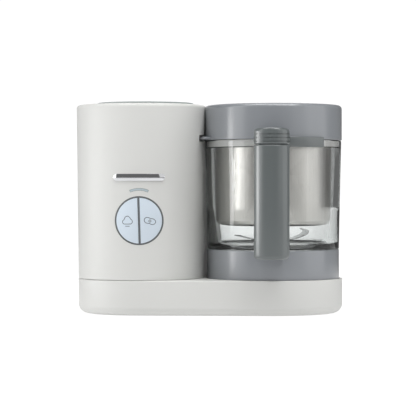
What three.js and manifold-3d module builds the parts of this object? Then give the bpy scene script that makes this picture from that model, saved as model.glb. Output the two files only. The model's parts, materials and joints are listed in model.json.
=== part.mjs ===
// Baby food maker: a steamer and blender. A round tower on the left holds the water tank, boiler,
// motor and buttons; a glass bowl with a steel basket stands on the base to its right.
// Millimetres, +X towards the bowl, -Y towards the user, +Z up. The two vertical axes lie in Y = 0
// of the inner group, which is shifted so that the origin is the bottom centre of the whole.
import * as THREE from 'three';
import { mergeVertices } from 'three/addons/utils/BufferGeometryUtils.js';
import Module from 'manifold-3d';

const wasm = await Module();
wasm.setup();

// ---- driving dimensions ----
const SHIFT_Y = 22.55;         // axis plane to origin
const TOWER_X = -81.85;        // tower and motor axis
const BOWL_X = 76.1;           // bowl, blade and spindle axis
const GAP = 0.3;               // between neighbouring pieces
const WALL = 2.8;              // housing wall
const ROUND = 40;              // facets of the large turned faces

const BASE_R_LEFT = 75.0;
const BASE_R_RIGHT = 83.0;
const BASE_Z0 = 0.8;
const COVER_Z0 = 2.0;
const BASE_TOP = 42.0;
const BASE_FILLET = 10.7;
const BASE_LIP = 13.5;         // inset of the bottom opening
const DECK_Z = 36.0;           // floor of the bowl recess
const DECK_R = 80.5;
const GLAND_Z = 24.0;           // height of the cord's inlet at the rear

const TOWER_Z0 = BASE_TOP + GAP;
const TOWER_TOP = 248.5;
const TOWER_R0 = 74.9;         // radius at the foot of the tower
const TOWER_R1 = 77.3;         // radius at the top of the tower
const TOWER_FILLET = 4.0;
const RECESS_R = 83.5;         // hollow in the tower around the bowl
const WING_R = 5.0;            // round edge of the tower's wing behind the bowl
const WING_REACH = 89.0;       // of that edge, from the bowl axis
const WING_AZ = 158;

const TANK_X = -76.85;         // tank axis
const TANK_R = 53.0;
const TANK_Z0 = 217.5;
const TANK_FLANGE_R = 57.6;
const CAP_R = 57.8;
const CAP_Z0 = 247.3;
const CAP_TOP = 251.0;
const CAP_HINGE_Y = 45.5;
const CAP_HINGE_Z = (CAP_Z0 + CAP_TOP) / 2;

const BUTTON_Z = 111.7;        // centre of the button disc
const BUTTON_R = 28.1;
const BUTTON_TRAVEL = 1.5;

const COLLAR_R = 79.0;
const COLLAR_Z0 = DECK_Z + GAP;
const COLLAR_TOP = 76.7;
const JAR_TOP = 206.0;
const JAR_LEDGE = 197.6;       // rebate that carries the basket rim
const BASKET_R = 69.0;
const BASKET_Z0 = 104.6;
const LID_R = 82.3;
const LID_Z0 = 206.4;
const LID_TOP = 248.3;

const HANDLE_AZ = -92.7;       // direction of the handle from the bowl axis, degrees
const HANDLE_W = 40.8;
const HANDLE_IN = 106.0;
const HANDLE_OUT = 128.0;
const HANDLE_BULGE = 15.0;     // depth of the rounded front
const HANDLE_BACK_R = 3.0;
const HANDLE_EASE = 1.5;
const HANDLE_Z0 = 68.0;
const HANDLE_TOP = 198.8;

const SHAFT_R = 4.0;
const SPINDLE_R = 5.0;
const RUNNING = 0.08;          // radial clearance of a turning shaft
const PULLEY_SMALL = 9.0;
const PULLEY_LARGE = 36.0;
const BELT_Z0 = 15.5;
const BELT_Z1 = 22.5;

const rad = (degrees) => degrees * Math.PI / 180;

// ---- solid helpers ----
// Welds a surface, drops empty triangles and turns it outwards.
function closed(geometry) {
  const bare = new THREE.BufferGeometry();
  bare.setAttribute('position', geometry.getAttribute('position').clone());
  if (geometry.index) bare.setIndex(geometry.index.clone());
  const welded = mergeVertices(bare, 1e-4);
  const p = welded.getAttribute('position');
  const source = welded.index.array;
  const kept = [];
  let volume = 0;
  const a = new THREE.Vector3();
  const b = new THREE.Vector3();
  const c = new THREE.Vector3();
  for (let i = 0; i < source.length; i += 3) {
    const [i0, i1, i2] = [source[i], source[i + 1], source[i + 2]];
    if (i0 === i1 || i1 === i2 || i0 === i2) continue;
    kept.push(i0, i1, i2);
    a.fromBufferAttribute(p, i0);
    b.fromBufferAttribute(p, i1);
    c.fromBufferAttribute(p, i2);
    volume += a.dot(b.cross(c));
  }
  if (volume < 0) {
    for (let i = 0; i < kept.length; i += 3) {
      const swap = kept[i];
      kept[i] = kept[i + 1];
      kept[i + 1] = swap;
    }
  }
  welded.setIndex(kept);
  return welded;
}

function solid(geometry) {
  const g = closed(geometry);
  return new wasm.Manifold(new wasm.Mesh({
    numProp: 3,
    vertProperties: new Float32Array(g.getAttribute('position').array),
    triVerts: new Uint32Array(g.index.array),
  }));
}

function surface(body) {
  const m = body.getMesh();
  const g = new THREE.BufferGeometry();
  g.setAttribute('position', new THREE.BufferAttribute(new Float32Array(m.vertProperties), 3));
  g.setIndex(new THREE.BufferAttribute(new Uint32Array(m.triVerts), 1));
  return g;
}

const join = (...parts) => surface(parts.map(solid).reduce((x, y) => x.add(y)));
const cut = (base, ...tools) => surface(tools.map(solid).reduce((x, y) => x.subtract(y), solid(base)));
const common = (first, second) => surface(solid(first).intersect(solid(second)));

// Solid of revolution about a vertical axis at (x, y); the profile is [radius, height] pairs.
function turned(profile, segments, x = 0, y = 0) {
  const points = profile.map(([r, z]) => new THREE.Vector2(r, z));
  const g = new THREE.LatheGeometry(points, segments);
  g.rotateX(Math.PI / 2);
  g.translate(x, y, 0);
  return closed(g);
}

function disc(radius, z0, z1, x, y = 0, segments = 24) {
  return turned([[0, z0], [radius, z0], [radius, z1], [0, z1]], segments, x, y);
}

function ring(inner, outer, z0, z1, x, y = 0, segments = 36) {
  return turned([[inner, z0], [outer, z0], [outer, z1], [inner, z1], [inner, z0]], segments, x, y);
}

// Part of a ring between two directions, in degrees from +X.
function sector(inner, outer, z0, z1, from, to, x, steps = 8) {
  const points = [];
  for (let i = 0; i <= steps; i++) {
    const a = rad(from + (to - from) * i / steps);
    points.push([x + outer * Math.cos(a), outer * Math.sin(a)]);
  }
  for (let i = steps; i >= 0; i--) {
    const a = rad(from + (to - from) * i / steps);
    points.push([x + inner * Math.cos(a), inner * Math.sin(a)]);
  }
  return upright(points, z0, z1);
}

// Plan outline raised from z0 to z1.
function upright(points, z0, z1) {
  const shape = new THREE.Shape(points.map(([x, y]) => new THREE.Vector2(x, y)));
  const g = new THREE.ExtrudeGeometry(shape, { depth: z1 - z0, bevelEnabled: false });
  g.translate(0, 0, z0);
  return closed(g);
}

// Front-view outline, [x, z] pairs, run through from y0 to y1.
function through(points, y0, y1) {
  const shape = new THREE.Shape(points.map(([x, z]) => new THREE.Vector2(x, z)));
  const g = new THREE.ExtrudeGeometry(shape, { depth: y1 - y0, bevelEnabled: false });
  g.rotateX(Math.PI / 2);
  g.translate(0, y1, 0);
  return closed(g);
}

function box(x0, x1, y0, y1, z0, z1) {
  const g = new THREE.BoxGeometry(x1 - x0, y1 - y0, z1 - z0);
  g.translate((x0 + x1) / 2, (y0 + y1) / 2, (z0 + z1) / 2);
  return closed(g);
}

// Block whose length runs outwards from the bowl axis in a given direction.
function spoke(r0, r1, width, z0, z1, degrees) {
  const g = box(r0, r1, -width / 2, width / 2, z0, z1);
  g.rotateZ(rad(degrees));
  g.translate(BOWL_X, 0, 0);
  return g;
}

// Closed skin over rings of equal point count, bottom to top.
function lofted(rings) {
  const n = rings[0].length;
  const positions = rings.flat(2);
  const index = [];
  for (let r = 0; r + 1 < rings.length; r++) {
    for (let i = 0; i < n; i++) {
      const j = (i + 1) % n;
      index.push(r * n + i, r * n + j, (r + 1) * n + j);
      index.push(r * n + i, (r + 1) * n + j, (r + 1) * n + i);
    }
  }
  const last = (rings.length - 1) * n;
  for (let i = 1; i + 1 < n; i++) {
    index.push(0, i + 1, i);
    index.push(last, last + i, last + i + 1);
  }
  const g = new THREE.BufferGeometry();
  g.setAttribute('position', new THREE.Float32BufferAttribute(positions, 3));
  g.setIndex(index);
  return closed(g);
}

function rounded(width, height, radius, cx, cz, steps = 5) {
  const points = [];
  const corners = [[1, -1, -90], [1, 1, 0], [-1, 1, 90], [-1, -1, 180]];
  for (const [sx, sz, start] of corners) {
    for (let i = 0; i <= steps; i++) {
      const a = rad(start + 90 * i / steps);
      points.push([
        cx + sx * (width / 2 - radius) + radius * Math.cos(a),
        cz + sz * (height / 2 - radius) + radius * Math.sin(a),
      ]);
    }
  }
  return points;
}

// ---- outline of the base: two unequal circles and their common tangents ----
function pill(inset, z) {
  const left = BASE_R_LEFT - inset;
  const right = BASE_R_RIGHT - inset;
  const turn = Math.acos((left - right) / (BOWL_X - TOWER_X));
  const points = [];
  const steps = 16;
  for (let i = 0; i <= steps; i++) {
    const a = -turn + 2 * turn * i / steps;
    points.push([BOWL_X + right * Math.cos(a), right * Math.sin(a), z]);
  }
  for (let i = 0; i <= steps; i++) {
    const a = turn + (2 * Math.PI - 2 * turn) * i / steps;
    points.push([TOWER_X + left * Math.cos(a), left * Math.sin(a), z]);
  }
  return points;
}

const towerRadius = (z) => TOWER_R0 + (TOWER_R1 - TOWER_R0) * (z - TOWER_Z0) / (TOWER_TOP - TOWER_Z0);

// Cone with the tower's taper, moved in or out, for parts that follow its skin.
function towerSkin(offset, z0, z1, segments = ROUND) {
  return turned([
    [0, z0], [towerRadius(z0) + offset, z0], [towerRadius(z1) + offset, z1], [0, z1],
  ], segments, TOWER_X);
}

// ---- mesh list ----
const root = new THREE.Group();
root.name = 'baby_food_maker';
const machine = new THREE.Group();
machine.name = 'machine';
machine.position.set(0, SHIFT_Y, 0);
root.add(machine);

const LOOKS = {
  white: [0xe9eae6, 0.35, 0.0],
  innerWhite: [0xdcdcd8, 0.55, 0.0],
  blueGrey: [0x8b929a, 0.38, 0.0],
  grip: [0x6f7673, 0.45, 0.0],
  paleBlue: [0xc9dbe6, 0.4, 0.0],
  dark: [0x2b2e30, 0.5, 0.0],
  rubber: [0x3a3c3d, 0.9, 0.0],
  silicone: [0xc9cccb, 0.8, 0.0],
  steel: [0xb9bab8, 0.3, 1.0],
  chrome: [0xd5d7d9, 0.12, 1.0],
  iron: [0x6b6e70, 0.5, 1.0],
  brass: [0xb39a5c, 0.35, 1.0],
  glass: [0xdfe8ea, 0.05, 0.0],
  lens: [0xb7c9cf, 0.2, 0.0],
  board: [0x1f5a3a, 0.6, 0.0],
};

function place(name, geometry, look, parent = machine) {
  const [color, roughness, metalness] = LOOKS[look];
  const material = new THREE.MeshStandardMaterial({ color, roughness, metalness });
  material.name = `${name}_finish`;
  const flat = geometry.toNonIndexed();
  flat.computeVertexNormals();
  const mesh = new THREE.Mesh(flat, material);
  mesh.name = name;
  parent.add(mesh);
  return mesh;
}

// ---- base ----
const LEFT_BOSS = { r: 55, angles: [165, -165] };
const RIGHT_BOSS = { r: 61, angles: [15, -15] };

function polar(axis, r, degrees) {
  return [axis + r * Math.cos(rad(degrees)), r * Math.sin(rad(degrees))];
}

const BOSSES = [
  ...LEFT_BOSS.angles.map((a) => polar(TOWER_X, LEFT_BOSS.r, a)),
  ...RIGHT_BOSS.angles.map((a) => polar(BOWL_X, RIGHT_BOSS.r, a)),
];
const FEET = [
  ['rear_left', ...polar(TOWER_X, 44, 142)],
  ['front_left', ...polar(TOWER_X, 44, -142)],
  ['rear_right', ...polar(BOWL_X, 50, 40)],
  ['front_right', ...polar(BOWL_X, 50, -40)],
];

function baseOuter() {
  const rings = [];
  for (let i = 0; i <= 3; i++) {
    const a = rad(90 * i / 3);
    rings.push(pill(BASE_FILLET * (1 - Math.sin(a)), BASE_Z0 + BASE_FILLET * (1 - Math.cos(a))));
  }
  for (let i = 0; i <= 2; i++) {
    const a = rad(90 * i / 2);
    rings.push(pill(1.5 * (1 - Math.cos(a)), BASE_TOP - 1.5 + 1.5 * Math.sin(a)));
  }
  return lofted(rings);
}

function baseCavity() {
  const inner = BASE_FILLET - WALL;
  const rings = [];
  for (let i = 0; i <= 2; i++) {
    const a = rad(90 * i / 2);
    rings.push(pill(WALL + inner * (1 - Math.sin(a)), BASE_Z0 + WALL + inner * (1 - Math.cos(a))));
  }
  rings.push(pill(WALL, DECK_Z - WALL));
  return lofted(rings);
}

function baseHousing() {
  const mouth = lofted([pill(BASE_LIP, 0), pill(BASE_LIP, 8)]);
  const throat = cut(disc(70, 30, 44, TOWER_X, 0, 32), disc(83.3, 29, 45, BOWL_X, 0, ROUND));
  let body = cut(baseOuter(), baseCavity(), mouth, throat);
  body = cut(body, disc(DECK_R, DECK_Z, 44, BOWL_X, 0, ROUND));
  const extras = [ring(34, 37, DECK_Z - 1, 44, BOWL_X, 0, 24)];
  for (const a of [30, 150, 270]) extras.push(sector(36.5, 39.6, 41.4, 44, a - 11, a + 11, BOWL_X, 4));
  BOSSES.forEach(([x, y], i) => {
    const top = i < 2 ? 30 : DECK_Z - WALL + 0.5;
    extras.push(disc(5, 4.9, top, x, y, 12));
    if (i < 2) {
      const rib = box(LEFT_BOSS.r, 73.2, -1.5, 1.5, 14, 30);
      rib.rotateZ(rad(LEFT_BOSS.angles[i]));
      rib.translate(TOWER_X, 0, 0);
      extras.push(rib);
    }
  });
  body = join(body, ...extras);
  const holes = BOSSES.map(([x, y]) => disc(1.8, 4, 18, x, y, 8));
  const gland = disc(6.4, -80, -60, 0, 0, 16);
  gland.rotateX(Math.PI / 2);
  gland.translate(TOWER_X, 0, GLAND_Z);
  return cut(body, ...holes, gland, disc(12.1, 30, 40, BOWL_X, 0, 24));
}

function bottomCover() {
  const plate = lofted([pill(BASE_LIP + GAP, COVER_Z0), pill(BASE_LIP + GAP, 4.6)]);
  const holes = [];
  for (const [x, y] of BOSSES) {
    holes.push(disc(2, 1, 6, x, y, 8), disc(4.6, 1, 3.3, x, y, 8));
  }
  for (const [, x, y] of FEET) holes.push(disc(9.6, 1, 3, x, y, 14));
  for (let i = -2; i <= 2; i++) {
    holes.push(box(TOWER_X - 16, TOWER_X + 22, i * 7 - 1.5, i * 7 + 1.5, 1, 6));
  }
  return cut(plate, ...holes);
}

function foot(x, y) {
  return turned([[0, 0], [8, 0], [9, 0.8], [9, 2.7], [0, 2.7]], 14, x, y);
}

function coverScrew(x, y) {
  return turned([[0, 2.2], [3.9, 2.2], [3.9, 3.0], [1.5, 3.0], [1.5, 14], [0.6, 15.5], [0, 15.5]], 8, x, y);
}

function cordGland() {
  const profile = [
    [3.6, 69.4], [8, 69.4], [8, 71.2], [6, 71.2], [6, 75.9], [8.5, 75.9], [8.5, 78.4], [7, 79.6],
    [3.6, 79.6], [3.6, 69.4],
  ];
  const g = turned(profile.map(([r, y]) => [r, -y]), 16);
  g.rotateX(Math.PI / 2);
  g.translate(TOWER_X, 0, GLAND_Z);
  return closed(g);
}

place('base_housing', baseHousing(), 'white');
place('bottom_cover', bottomCover(), 'innerWhite');
for (const [name, x, y] of FEET) place(`foot_${name}`, foot(x, y), 'rubber');
BOSSES.forEach(([x, y], i) => place(`cover_screw_${i + 1}`, coverScrew(x, y), 'steel'));
place('cord_gland', cordGland(), 'rubber');

// ---- tower ----
const SLOT_Z0 = 204.4;
const SLOT_Z1 = 212.4;
const SLOT_R = 94.0;
const PLUNGER_AZ = 189.5;
const OUTLET_AZ = 173.6;
const OUTLET_Z = 230;

// Plan of the tower: a circle drawn out into a round-edged wing behind the bowl.
function towerPlan(radius, inset, z) {
  const [tipX, tipY] = polar(BOWL_X, WING_REACH, WING_AZ);
  const away = Math.hypot(tipX - TOWER_X, tipY);
  const bearing = Math.atan2(tipY, tipX - TOWER_X);
  const turn = Math.acos((radius - WING_R) / away);
  const r = radius - inset;
  const tip = WING_R - inset;
  const angles = [bearing + turn];
  for (let degrees = 63; degrees <= 351; degrees += 9) angles.push(rad(degrees));
  angles.push(bearing - turn + 2 * Math.PI);
  const points = angles.map((a) => [TOWER_X + r * Math.cos(a), r * Math.sin(a), z]);
  for (let i = 0; i <= 4; i++) {
    const a = bearing - turn + 2 * turn * i / 4;
    points.push([tipX + tip * Math.cos(a), tipY + tip * Math.sin(a), z]);
  }
  return points;
}

function towerOuter() {
  const rings = [towerPlan(TOWER_R0, 0, TOWER_Z0)];
  const shoulder = TOWER_TOP - TOWER_FILLET;
  const r = towerRadius(shoulder);
  for (let i = 0; i <= 3; i++) {
    const a = rad(90 * i / 3);
    rings.push(towerPlan(r, TOWER_FILLET * (1 - Math.cos(a)), shoulder + TOWER_FILLET * Math.sin(a)));
  }
  return lofted(rings);
}

function towerCavity() {
  const hollow = lofted([
    towerPlan(TOWER_R0, WALL, 40),
    towerPlan(TOWER_R1, WALL, 241),
    towerPlan(TOWER_R1, WALL + 2, TOWER_TOP - WALL),
  ]);
  const keep = disc(RECESS_R + WALL, 38, 250, BOWL_X, 0, ROUND);
  const pocket = sector(80, 97, SLOT_Z0 - 2.4, SLOT_Z1 + 1.7, 181, 218, BOWL_X);
  return cut(hollow, keep, pocket);
}

// Radial pin or hole through the tower, seen from the bowl axis.
function radialPin(radius, r0, r1, z, degrees, segments = 12) {
  const g = disc(radius, r0, r1, 0, 0, segments);
  g.rotateY(Math.PI / 2);
  g.rotateZ(rad(degrees));
  g.translate(BOWL_X, 0, z);
  return g;
}

function arcBand(cx, cz, radius, width, span, grow = 0) {
  const points = [];
  const outer = radius + width / 2 + grow;
  const inner = radius - width / 2 - grow;
  const half = span / 2 + grow / radius * 57.3;
  for (let i = 0; i <= 6; i++) {
    const a = rad(90 - half + 2 * half * i / 6);
    points.push([cx + outer * Math.cos(a), cz + outer * Math.sin(a)]);
  }
  for (let i = 6; i >= 0; i--) {
    const a = rad(90 - half + 2 * half * i / 6);
    points.push([cx + inner * Math.cos(a), cz + inner * Math.sin(a)]);
  }
  return points;
}

function circle(cx, cz, radius, segments = 40) {
  const points = [];
  for (let i = 0; i < segments; i++) {
    const a = 2 * Math.PI * i / segments;
    points.push([cx + radius * Math.cos(a), cz + radius * Math.sin(a)]);
  }
  return points;
}

const LENS_Z = 120;
const LENS_R = 28;

function towerShell() {
  let body = cut(towerOuter(), towerCavity(), disc(RECESS_R, 38, 252, BOWL_X, 0, ROUND));
  const ribs = [];
  for (const degrees of [75, 215, 285]) {
    const rib = box(67, 73.5, -1.5, 1.5, 45.8, 140.7);
    rib.rotateZ(rad(degrees));
    rib.translate(TOWER_X, 0, 0);
    ribs.push(rib);
  }
  for (const x of [-25, 25]) {
    for (const z of [87, 155]) {
      const post = disc(3, 61.9, 72.4, 0, 0, 12);
      post.rotateX(Math.PI / 2);
      post.translate(TOWER_X + x, 0, z);
      ribs.push(common(post, towerSkin(-1, 60, 180)));
    }
  }
  body = join(body, ...ribs);
  return cut(
    body,
    disc(58.3, 240, 252, TANK_X, 0, 40),
    sector(80, SLOT_R, SLOT_Z0, SLOT_Z1, 184, 222, BOWL_X, 10),
    radialPin(2.1, 90, 100, (SLOT_Z0 + SLOT_Z1) / 2, PLUNGER_AZ),
    radialPin(5.0, 80, 88, OUTLET_Z, OUTLET_AZ),
    through(circle(TOWER_X, BUTTON_Z, BUTTON_R + GAP), -90, -60),
    through(arcBand(TOWER_X, LENS_Z, LENS_R, 2.2, 44, GAP), -90, -60),
  );
}

function halfDisc(side, radius, gapHalf) {
  const points = [];
  const start = Math.asin(gapHalf / radius);
  for (let i = 0; i <= 16; i++) {
    const a = -Math.PI / 2 + start + (Math.PI - 2 * start) * i / 16;
    points.push([side * radius * Math.cos(a), radius * Math.sin(a)]);
  }
  const tilt = rad(1.7);
  const turnedPoints = points.map(([x, z]) => [
    TOWER_X + x * Math.cos(tilt) - z * Math.sin(tilt),
    BUTTON_Z + x * Math.sin(tilt) + z * Math.cos(tilt),
  ]);
  return side > 0 ? turnedPoints : turnedPoints.reverse();
}

function controlBezel() {
  const plug = through(circle(TOWER_X, BUTTON_Z, BUTTON_R), -90, -62);
  const skin = cut(towerSkin(-0.1, 70, 150), towerSkin(-5.5, 60, 160));
  const openings = [-1, 1].map((side) => through(halfDisc(side, BUTTON_R - 1.3, 1.0), -95, -55));
  return cut(common(plug, skin), ...openings);
}

function button(side) {
  const plug = through(halfDisc(side, BUTTON_R - 1.3 - GAP, 1.0 + GAP), -90, -62);
  const skin = cut(towerSkin(0.4, 70, 150), towerSkin(-3.2, 60, 160));
  const stem = disc(2.6, 67.4, 72.6, 0, 0, 12);
  stem.rotateX(Math.PI / 2);
  stem.translate(TOWER_X + side * 12, 0, BUTTON_Z);
  return join(common(plug, skin), stem);
}

function accentBar() {
  const plug = through(rounded(60, 8, 4, TOWER_X, 162, 4), -90, -60);
  const skin = cut(towerSkin(1.2, 140, 190), towerSkin(GAP, 130, 200));
  return common(plug, skin);
}

function indicatorLens() {
  const plug = through(arcBand(TOWER_X, LENS_Z, LENS_R, 2.2, 44), -90, -62);
  const skin = cut(towerSkin(0.1, 120, 170), towerSkin(-2.6, 110, 180));
  return common(plug, skin);
}

function tankWell() {
  const cup = turned([
    [0, 214.5], [55.8, 214.5], [55.8, 241.5], [60.4, 241.5], [60.4, 245.4], [58.4, 245.4],
    [58.4, 243.5], [53.8, 243.5], [53.8, 216.3], [0, 216.3],
  ], 28, TANK_X);
  const spigot = disc(4, 205, 215.5, TANK_X, 0, 16);
  const bore = disc(2.6, 204, 218, TANK_X, 0, 12);
  const pin = box(TANK_X - 3, TANK_X + 3, -0.8, 0.8, 213, 216.3);
  return join(cut(join(cup, spigot), bore), pin);
}

function controlBoard() {
  const parts = [box(TOWER_X - 30, TOWER_X + 30, -61.6, -60, 80, 162)];
  for (const side of [-1, 1]) {
    const x = TOWER_X + side * 12;
    parts.push(box(x - 3, x + 3, -65.3, -61.5, BUTTON_Z - 3, BUTTON_Z + 3));
  }
  parts.push(box(TOWER_X - 12, TOWER_X + 12, -60.1, -57.5, 90, 114));
  return join(...parts);
}

function powerBoard() {
  const parts = [box(TOWER_X - 30, TOWER_X + 30, 54, 55.6, 56, 134)];
  parts.push(box(TOWER_X - 24, TOWER_X - 4, 44, 54.1, 62, 82));
  parts.push(box(TOWER_X + 2, TOWER_X + 22, 42, 54.1, 92, 124));
  parts.push(box(TOWER_X - 20, TOWER_X - 8, 46, 54.1, 100, 118));
  return join(...parts);
}

function interlockSwitch() {
  const g = box(104.6, 116, -5, 5, 202, 214);
  g.rotateZ(rad(PLUNGER_AZ));
  g.translate(BOWL_X, 0, 0);
  return g;
}

function interlockPlunger() {
  const z = (SLOT_Z0 + SLOT_Z1) / 2;
  const stem = radialPin(1.8, 92.4, 102, z, PLUNGER_AZ);
  const collar = radialPin(3.6, 100.2, 102.6, z, PLUNGER_AZ);
  return join(stem, collar);
}

function innerFrame() {
  const plate = disc(71.2, 141, 144, TOWER_X, 0, 32);
  return cut(
    plate,
    disc(RECESS_R + WALL + GAP, 138, 150, BOWL_X, 0, ROUND),
    disc(20, 138, 150, TOWER_X),
    box(TOWER_X - 45, TOWER_X + 45, -80, -54, 138, 150),
  );
}

place('tower_shell', towerShell(), 'white');
place('control_bezel', controlBezel(), 'dark');
place('accent_bar', accentBar(), 'chrome');
place('indicator_lens', indicatorLens(), 'lens');
place('tank_well', tankWell(), 'innerWhite');
place('control_board', controlBoard(), 'board');
place('power_board', powerBoard(), 'board');
place('interlock_switch', interlockSwitch(), 'dark');
place('inner_frame', innerFrame(), 'innerWhite');
place('steam_button', button(-1), 'paleBlue');
place('blend_button', button(1), 'paleBlue');
place('interlock_plunger', interlockPlunger(), 'grip');

// ---- boiler and hoses ----
const STEAM_X = -62;
const STEAM_Y = 18;
const ELBOW_R = 91;

function boilerBody() {
  const cup = turned([
    [0, 150], [36, 150], [36, 184], [32, 184], [32, 154], [0, 154],
  ], 28, TOWER_X);
  const legs = [0, 120, 240].map((a) => disc(3.5, 144.3, 151, ...polar(TOWER_X, 29, a), 8));
  return join(cup, ...legs);
}

function boilerCover() {
  const top = turned([[0, 184.3], [38, 184.3], [38, 186.5], [30, 189], [0, 189]], 28, TOWER_X);
  const inlet = disc(4, 188, 199, TANK_X, 0, 12);
  const outlet = disc(4, 187, 195, STEAM_X, STEAM_Y, 12);
  return cut(
    join(top, inlet, outlet),
    disc(2.6, 180, 200, TANK_X, 0, 10),
    disc(2.4, 180, 200, STEAM_X, STEAM_Y, 10),
  );
}

function heatingElement() {
  const profile = circle(39.5, 160, 2.8, 6);
  profile.push(profile[0]);
  const loop = turned(profile, 24, TOWER_X);
  const ends = [-8, 8].map((y) => {
    const rod = disc(2.2, 38.5, 52, 0, 0, 8);
    rod.rotateY(-Math.PI / 2);
    rod.translate(TOWER_X, y, 160);
    return rod;
  });
  return join(loop, ...ends);
}

function thermostat() {
  return turned([[0, 145.2], [6, 145.2], [6, 147], [11, 147], [11, 149.7], [0, 149.7]], 16, TOWER_X);
}

function feedHose() {
  return turned([
    [4.3, 194], [6.2, 194], [6.2, 198], [5.6, 199.5], [6.2, 201], [5.6, 202.5], [6.2, 204],
    [6.2, 211], [4.3, 211], [4.3, 194],
  ], 14, TANK_X);
}

function steamHose() {
  const [ex, ey] = polar(BOWL_X, ELBOW_R, OUTLET_AZ);
  const path = new THREE.CatmullRomCurve3([
    new THREE.Vector3(STEAM_X, STEAM_Y, 195.3),
    new THREE.Vector3(STEAM_X, STEAM_Y, 199),
    new THREE.Vector3(STEAM_X + 9, STEAM_Y - 1, 204.5),
    new THREE.Vector3(ex - 14, ey + 2, 206),
    new THREE.Vector3(ex - 1, ey + 0.3, 209),
    new THREE.Vector3(ex, ey, 213),
    new THREE.Vector3(ex, ey, 215.2),
  ]);
  const shape = new THREE.Shape(circle(0, 0, 4, 8).map(([x, y]) => new THREE.Vector2(x, y)));
  const bore = circle(0, 0, 2.4, 6).reverse().map(([x, y]) => new THREE.Vector2(x, y));
  shape.holes.push(new THREE.Path(bore));
  return closed(new THREE.ExtrudeGeometry(shape, { steps: 12, extrudePath: path, bevelEnabled: false }));
}

function steamOutlet() {
  const [ex, ey] = polar(BOWL_X, ELBOW_R, OUTLET_AZ);
  const nose = radialPin(4.7, 82.8, 95, OUTLET_Z, OUTLET_AZ, 16);
  const flange = radialPin(6.5, 86.9, 88.4, OUTLET_Z, OUTLET_AZ, 16);
  const leg = disc(4, 215.8, OUTLET_Z, ex, ey, 12);
  return cut(
    join(nose, flange, leg),
    radialPin(2.6, 80, 92, OUTLET_Z, OUTLET_AZ, 10),
    disc(2.4, 214, OUTLET_Z, ex, ey, 10),
  );
}

place('boiler_body', boilerBody(), 'steel');
place('boiler_cover', boilerCover(), 'innerWhite');
place('heating_element', heatingElement(), 'iron');
place('thermostat', thermostat(), 'dark');
place('feed_hose', feedHose(), 'silicone');
place('steam_hose', steamHose(), 'silicone');
place('steam_outlet', steamOutlet(), 'silicone');

// ---- motor and belt drive ----
function motorPlate() {
  const plate = disc(71.4, BASE_TOP + GAP, 45.3, TOWER_X, 0, 32);
  const boss = disc(12, 45, 52, TOWER_X, 0, 16);
  const holes = [45, 135, 225, 315].map((a) => disc(9, 40, 50, ...polar(TOWER_X, 52, a), 12));
  return cut(
    join(plate, boss),
    disc(RECESS_R + WALL + GAP, 40, 50, BOWL_X, 0, ROUND),
    disc(SHAFT_R + RUNNING, 40, 55, TOWER_X),
    ...holes,
  );
}

function motorStator() {
  const core = turned([
    [22.8, 68], [33, 68], [33, 112], [22.8, 112], [22.8, 68],
  ], 24, TOWER_X);
  const pillars = [45, 135, 225, 315].map((a) => disc(3, 45.6, 122.7, ...polar(TOWER_X, 34.8, a), 8));
  return join(core, ...pillars);
}

function motorBracket() {
  return turned([
    [SHAFT_R + RUNNING, 123], [39, 123], [39, 126], [12, 126], [10, 133], [SHAFT_R + RUNNING, 133],
    [SHAFT_R + RUNNING, 123],
  ], 24, TOWER_X);
}

function motorShaft() {
  return disc(SHAFT_R, 9, 131, TOWER_X);
}

function coolingFan() {
  const hub = ring(SHAFT_R + GAP, 9, 55, 64, TOWER_X, 0, 16);
  const web = ring(8.5, 29.5, 62.4, 64, TOWER_X, 0, 24);
  const blades = [];
  for (let i = 0; i < 8; i++) {
    const blade = box(8.5, 29, -0.8, 0.8, 55, 63);
    blade.rotateZ(rad(45 * i));
    blade.translate(TOWER_X, 0, 0);
    blades.push(blade);
  }
  return join(hub, web, ...blades);
}

function pulley(radius, bore, x, segments) {
  const flange = radius + 2.5;
  return turned([
    [bore, 12], [flange, 12], [flange, 14], [radius, 14], [radius, 24], [flange, 24], [flange, 26],
    [bore, 26], [bore, 12],
  ], segments, x);
}

function beltOutline(offset) {
  const small = PULLEY_SMALL + offset;
  const large = PULLEY_LARGE + offset;
  const turn = Math.acos((small - large) / (BOWL_X - TOWER_X));
  const points = [];
  for (let i = 0; i <= 20; i++) {
    const a = -turn + 2 * turn * i / 20;
    points.push([BOWL_X + large * Math.cos(a), large * Math.sin(a)]);
  }
  for (let i = 0; i <= 10; i++) {
    const a = turn + (2 * Math.PI - 2 * turn) * i / 10;
    points.push([TOWER_X + small * Math.cos(a), small * Math.sin(a)]);
  }
  return points;
}

function driveBelt() {
  return cut(
    upright(beltOutline(2.3), BELT_Z0, BELT_Z1),
    upright(beltOutline(0.6), BELT_Z0 - 1, BELT_Z1 + 1),
  );
}

function spindleBearing() {
  return turned([
    [SPINDLE_R + RUNNING, 27.5], [13, 27.5], [13, 30], [20, 30], [20, 32.9], [11.7, 32.9],
    [11.7, 37.6], [SPINDLE_R + RUNNING, 37.6], [SPINDLE_R + RUNNING, 27.5],
  ], 24, BOWL_X);
}

function driveDog() {
  const parts = [ring(SPINDLE_R + GAP, 15, 38.4, 44, BOWL_X, 0, 24)];
  for (const a of [0, 120, 240]) parts.push(sector(8.5, 14.6, 43.5, 50, a - 15, a + 15, BOWL_X, 3));
  return join(...parts);
}

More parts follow.
